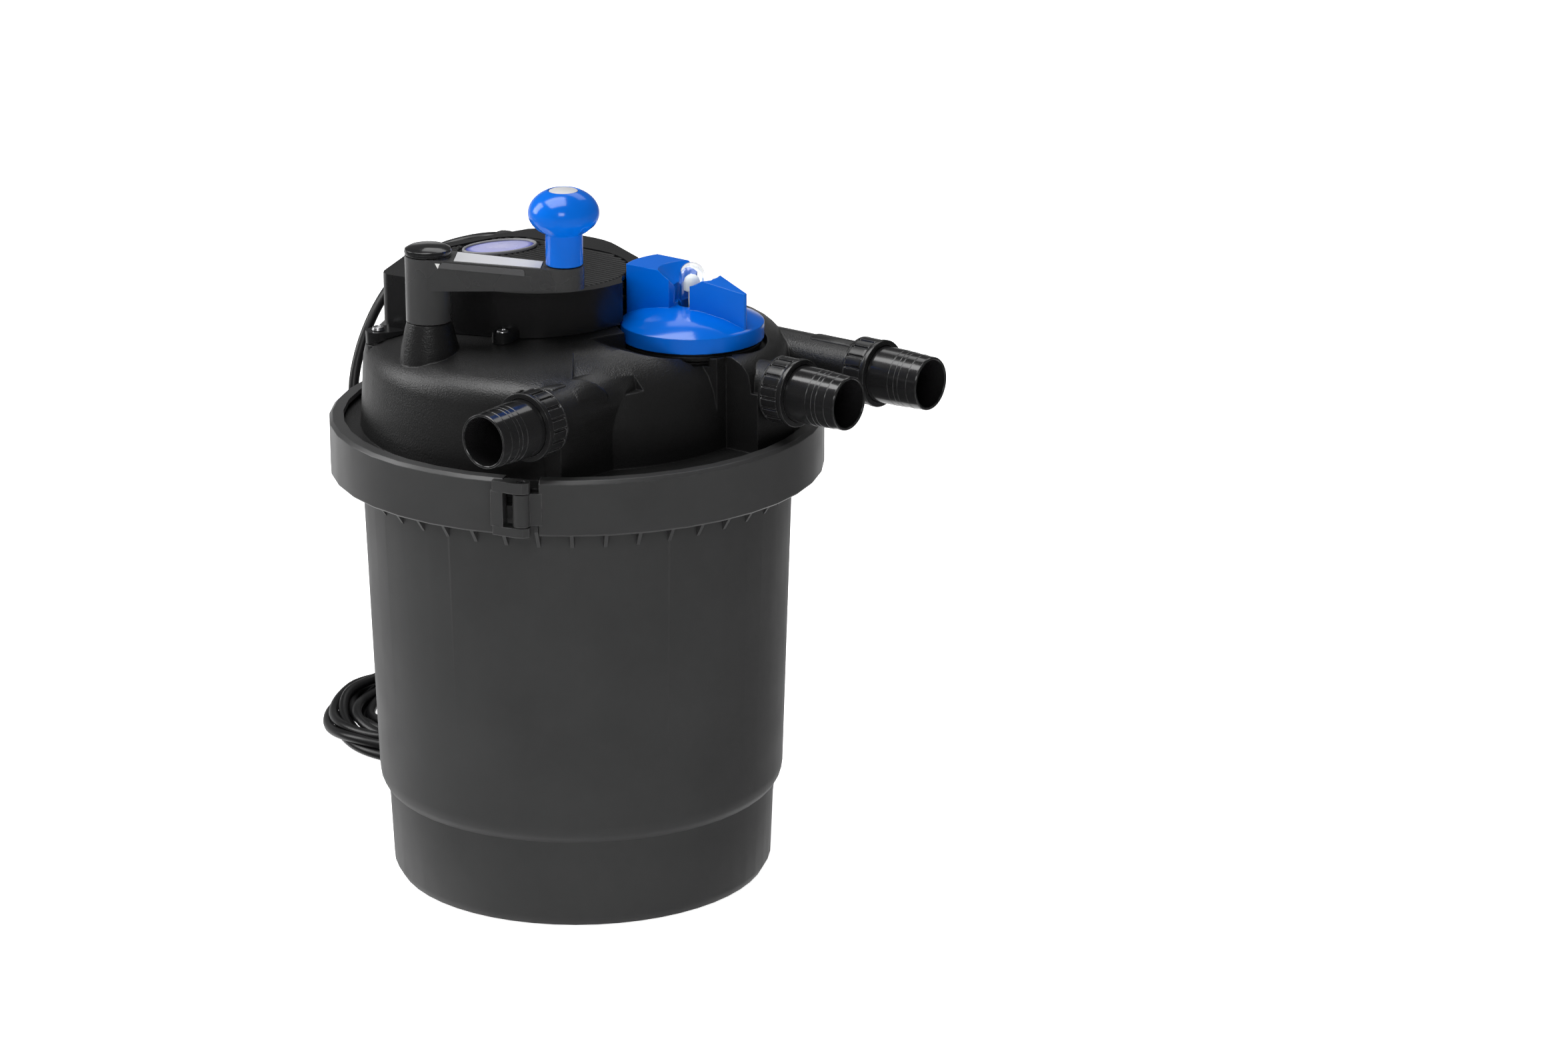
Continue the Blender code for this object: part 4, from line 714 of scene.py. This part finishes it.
def nut_profile():
    """(radius, z) of the nut's outside from back to front, then its bore from front to back."""
    outside = [(19.2, -17.0), (19.9, -16.7), (20.0, -15.6)]
    outside += [(NUT_GRIP_RADIUS, z) for z in (-15.2, -14.7, -14.2, -12.0, -9.5, -7.0, -5.2, -4.6, -3.9)]
    outside += [(19.8, -3.5), (20.3, -3.1), (20.4, -2.6), (20.4, -0.6), (20.2, -0.15), (19.8, 0.0)]
    return outside + [(17.4, 0.0), (17.4, -2.6), (18.6, -2.6), (18.6, -13.0), (15.9, -13.0), (15.9, -17.0)]


def nut_ribs(radius, angle, z):
    """Flat ribs on the grip with narrow slots between them."""
    if radius != NUT_GRIP_RADIUS or not -14.8 < z < -4.5:
        return radius
    share = (angle / math.tau * NUT_RIBS) % 1.0
    return radius - 0.75 if 0.38 < share < 0.66 else radius + 0.3


def tail_profile():
    """(radius, z) of a hose tail: collar, root, three shallow barbs and a rolled mouth, then the bore."""
    outside = [(12.5, -5.1), (18.2, -5.1), (18.2, -2.9), (17.0, -2.9), (17.0, 0.5), (17.0, 9.0)]
    outside += [(16.95, 15.4), (16.75, 15.7), (16.75, 19.6), (16.6, 19.8), (16.6, 22.4), (16.4, 22.7)]
    outside += [(16.4, 28.6), (16.2, 28.9), (16.1, 33.4), (16.1, 34.8), (15.8, 35.4), (15.4, 35.5)]
    return outside + [(14.8, 35.5), (14.4, 35.1), (14.3, 33.0), (14.2, 9.0)]


def add_connectors(materials):
    for name, ((x, y), heading) in CONNECTORS.items():
        place = (x, y, PORT_HEIGHT)
        tail = lying(turned(tail_profile(), 128), place, heading)
        add_piece(f"tail_{name}", tail, "housing", materials["gloss_black"],
                  (f"hose_tail_{name}",), 24.0)
        nut = lying(turned(nut_profile(), 12 * NUT_RIBS, wobble=nut_ribs), place, heading)
        add_piece(f"ribbed_nut_{name}", nut, f"nut_{name}", materials["nut"],
                  (f"union_nut_{name}",), 24.0)


# Pipe, its radius, the plate's turn about it, and the plate's front end and length along it.
PIPE_PLATES = (("front", 18.0, 8.0, -21.5, 27.0), ("rear", 15.3, 0.0, -20.5, 31.0))


def add_pipe_plates(materials):
    """A plain raised plate on top of the front and rear pipes, behind the nut."""
    for name, radius, turn, start, length in PIPE_PLATES:
        (x, y), heading = CONNECTORS[name]
        mesh = bmesh.new()
        rows = []
        for z in (start - length, start - length + 1.0, start - 1.0, start):
            raised = z in (start - length + 1.0, start - 1.0)
            loop = [(radius + (0.75 if raised and abs(k) < 6 else -0.3), k) for k in range(-6, 7)]
            loop += [(radius - 1.0, k) for k in range(6, -7, -1)]
            row = []
            for out, k in loop:
                angle = math.radians(180.0 + turn + 3.6 * k)
                row.append(mesh.verts.new((out * math.cos(angle), out * math.sin(angle), z)))
            rows.append(row)
        bridge(mesh, rows, False)
        mesh.faces.new(rows[0])
        mesh.faces.new(rows[-1])
        lying(mesh, (x, y, PORT_HEIGHT), heading)
        add_piece(f"pipe_plate_{name}", mesh, "housing", materials["lid"], sharp=50.0)


# ---------------------------------------------------------------- lamp cover

PANEL_FLOOR = 378.8
PANEL_CIRCLES = ((-18.0, -8.0, 52.0), (-66.0, 18.0, 25.0), (-56.0, -18.0, 42.0))  # x, y, radius
BADGE = ((-71.5, 13.3), 67.5, 24.5, 15.0)                                         # centre, turn, half sizes
WINDOW = ((-8.0, -5.0), 8.0)                                                      # centre, radius
RIB_PITCH = 3.7
RIB_FIRST, RIB_LAST = -59.0, 46.0
RIB_SECTION = ((-1.15, 0.0), (-1.15, 0.55), (-0.95, 0.95), (-0.5, 1.18), (0.0, 1.25), (0.5, 1.18),
               (0.95, 0.95), (1.15, 0.55), (1.15, 0.0))
SCAN_START, SCAN_STEP, SCAN_COUNT = -120.0, 0.25, 700
SHORTEST_RIB = 4.0


def wrapped(circles, inset):
    """The outline of a band pulled tight round the circles, each drawn in by the inset."""
    points = []
    for x, y, radius in circles:
        points += [polar(radius - inset, 360.0 * k / 72, (x, y)) for k in range(72)]
    return [points[k] for k in geometry.convex_hull_2d([Vector(p) for p in points])]


def inside(outline, x, y):
    """Whether a line from (x, y) crosses the outline an odd number of times."""
    found = False
    for (x0, y0), (x1, y1) in zip(outline, outline[1:] + outline[:1]):
        if (y0 > y) != (y1 > y) and x < (x1 - x0) * (y - y0) / (y1 - y0) + x0:
            found = not found
    return found


def badge_share(x, y, margin):
    """Below 1 inside the badge's ellipse, grown by the margin."""
    (cx, cy), turn, long, short = BADGE
    a = math.radians(turn)
    u = (x - cx) * math.cos(a) + (y - cy) * math.sin(a)
    v = -(x - cx) * math.sin(a) + (y - cy) * math.cos(a)
    return math.hypot(u / (long + margin), v / (short + margin))


def rib_runs(y):
    """Where the rib at this y runs: inside the panel, and clear of the badge and the window."""
    outline = wrapped(PANEL_CIRCLES, 0.7)
    (wx, wy), radius = WINDOW
    runs, start, last = [], None, None
    for k in range(SCAN_COUNT):
        x = SCAN_START + SCAN_STEP * k
        off_window = math.hypot(x - wx, y - wy) > radius + 1.8
        free = inside(outline, x, y) and badge_share(x, y, 2.2) > 1.0 and off_window
        if free and start is None:
            start = x
        if not free and start is not None:
            if last - start > SHORTEST_RIB:
                runs.append((start, last))
            start = None
        last = x
    return runs


def add_ribs(materials):
    """Rounded ribs across the cover's sunk panel. Each sinks to a quarter of its height at its ends."""
    mesh = bmesh.new()
    y = RIB_FIRST
    while y < RIB_LAST:
        for first, last in rib_runs(y):
            ends = [(first, 0.25), (first + 0.5, 0.8), (first + 1.2, 1.0),
                    (last - 1.2, 1.0), (last - 0.5, 0.8), (last, 0.25)]
            rows = [[mesh.verts.new((x, y + dy, PANEL_FLOOR + 0.02 + dz * size)) for dy, dz in RIB_SECTION]
                    for x, size in ends]
            bridge(mesh, rows, False)
            mesh.faces.new(rows[0])
            mesh.faces.new(rows[-1])
        y += RIB_PITCH
    add_piece("cover_ribs", mesh, "housing", materials["rib"], sharp=40.0)


def badge_rings(rings, count=96):
    """A new mesh with a ring of vertices round the badge's ellipse for each (grow, z), and no faces yet."""
    (cx, cy), turn, long, short = BADGE
    turn = math.radians(turn)
    mesh = bmesh.new()
    made = []
    for grow, z in rings:
        ring = []
        for k in range(count):
            a = math.tau * k / count
            u, v = (long + grow) * math.cos(a), (short + grow) * math.sin(a)
            ring.append(mesh.verts.new((cx + u * math.cos(turn) - v * math.sin(turn),
                                        cy + u * math.sin(turn) + v * math.cos(turn), z)))
        made.append(ring)
    return mesh, made


def add_badge(materials):
    rim = [(-1.9, 379.1), (-1.9, 380.2), (-1.5, 380.75), (-0.8, 381.0), (-0.25, 380.7), (0.0, 380.1),
           (0.0, 379.1)]
    mesh, rings = badge_rings(rim)
    bridge(mesh, rings, True)
    add_piece("badge_rim", mesh, "housing", materials["badge_rim"], sharp=50.0)
    face = [(-2.0, 379.1), (-2.0, 379.9), (-4.5, 380.2), (-8.0, 380.4)]
    mesh, rings = badge_rings(face)
    bridge(mesh, rings, False)
    mesh.faces.new(rings[0])
    mesh.faces.new(rings[-1])
    add_piece("badge_face", mesh, "housing", materials["badge"], ("badge",), 50.0)


def add_window(materials):
    """The round lens of the cover's indicator window."""
    centre, radius = WINDOW
    lens = [(0.0, 375.3), (radius - 0.9, 375.3), (radius - 0.6, 378.4), (radius - 1.0, 379.6),
            (radius - 2.4, 380.2), (radius - 4.2, 380.45), (0.0, 380.5)]
    add_piece("window_lens", turned(lens, 64, centre), "housing", materials["lens"],
              ("indicator_window",), 50.0)


# ---------------------------------------------------------------- dial, crank and knob


DIAL_CENTRE = (69.0, 26.0)
SIGHT_FOOT = 348.0
SIGHT_DOME = 382.1
SIGHT_OUTER, SIGHT_INNER = 7.9, 6.5
HUB = (-29.0, -99.4)
ARM_HEADING = 35.0
ARM_REACH = 80.4
ARM_HALF_WIDTHS = (13.5, 9.4)       # at the hub, and at ARM_TAPER along the arm
ARM_TAPER = 76.0
KNOB_FOOT = 400.3
FLUTES_FROM, FLUTES_TO = 419.2, 426.5
BULB_CENTRE = 431.2
BULB_RADIUS = 21.0
BULB_BELOW, BULB_ABOVE = 14.2, 15.3
BULB_STEPS = 16


def add_sight(materials):
    """A clear domed tube with a white float on a stem in it."""
    def dome(radius):
        angles = [math.radians(6.0 * t) for t in range(15)]
        return [(radius * math.cos(a), SIGHT_DOME + radius * math.sin(a)) for a in angles]

    tops = [(0.0, SIGHT_DOME + SIGHT_OUTER), (0.0, SIGHT_DOME + SIGHT_INNER)]
    glass = [(SIGHT_OUTER, SIGHT_FOOT)] + dome(SIGHT_OUTER) + tops
    glass += dome(SIGHT_INNER)[::-1] + [(SIGHT_INNER, SIGHT_FOOT)]
    add_piece("sight_glass", turned(glass, 64, DIAL_CENTRE), "dial", materials["clear"],
              ("sight_dome",), 50.0)
    floating = [(0.0, 352.0), (2.2, 352.0), (2.2, 372.0), (5.0, 373.4), (5.2, 377.6), (4.2, 380.6),
                (2.4, 382.2), (0.0, 382.6)]
    add_piece("sight_float", turned(floating, 48, DIAL_CENTRE), "dial", materials["white"],
              sharp=50.0)


def add_knob(materials):
    """The knob: a plain stem and a round bulb whose underside has leaning flutes."""
    def flutes(radius, angle, z):
        if not FLUTES_FROM < z < FLUTES_TO or radius < 11.2:
            return radius
        depth = 0.7 * math.sin(math.pi * (z - FLUTES_FROM) / (FLUTES_TO - FLUTES_FROM))
        return radius - depth * (0.5 + 0.5 * math.cos(14.0 * angle + 0.35 * (z - FLUTES_FROM)))

    shell = [(0.0, 437.0), (4.4, 437.0), (4.4, KNOB_FOOT), (10.6, KNOB_FOOT), (11.0, 400.7), (11.0, 417.6),
             (11.1, 419.0)]
    for k in range(BULB_STEPS + 1):
        a = math.radians(-58.0 + 58.0 * k / BULB_STEPS)
        shell.append((BULB_RADIUS * math.cos(a), BULB_CENTRE + BULB_BELOW * math.sin(a)))
    for k in range(1, BULB_STEPS + 1):
        a = math.radians(63.4 * k / BULB_STEPS)
        shell.append((BULB_RADIUS * math.cos(a), BULB_CENTRE + BULB_ABOVE * math.sin(a)))
    shell += [(9.1, 444.6), (9.0, 443.7), (0.0, 443.7)]
    knob = turned(shell, 168, polar(ARM_REACH, ARM_HEADING, HUB), flutes)
    add_piece("knob_grip", knob, "knob", materials["blue"], ("knob",), 30.0)


def add_arm_trim(materials):
    """A long thin wedge and a small pale nick on the crank arm's front face, beside the hub's cap."""
    place = Matrix.Translation((*HUB, 0.0)) @ Matrix.Rotation(math.radians(ARM_HEADING), 4, "Z")
    wide, narrow = ARM_HALF_WIDTHS
    slope = math.atan2(wide - narrow, ARM_TAPER)

    def on_face(points, depth):
        """A flat plate on the face: points are (distance along the arm, z)."""
        mesh = bmesh.new()
        loops = []
        for out in (-0.4, depth):
            loops.append([mesh.verts.new((u, -wide + u * math.tan(slope) - out, z)) for u, z in points])
        bridge(mesh, loops, False)
        mesh.faces.new(loops[0])
        mesh.faces.new(loops[1])
        bmesh.ops.transform(mesh, matrix=place, verts=mesh.verts)
        return mesh

    wedge = [(7.0, 400.4), (58.0, 395.3), (58.0, 397.9), (57.0, 399.3), (10.0, 403.6)]
    add_piece("arm_wedge", on_face(wedge, 0.35), "crank", materials["arm_wedge"], sharp=40.0)
    nick = [(5.6, 403.2), (8.6, 403.0), (7.3, 400.0)]
    add_piece("arm_nick", on_face(nick, 0.45), "crank", materials["white"], sharp=40.0)


def main():
    add_camera()
    add_studio()
    materials = make_materials()
    finish_cad_nodes(materials)
    add_lead(materials)
    add_connectors(materials)
    add_pipe_plates(materials)
    add_ribs(materials)
    add_badge(materials)
    add_window(materials)
    add_sight(materials)
    add_knob(materials)
    add_arm_trim(materials)


main()
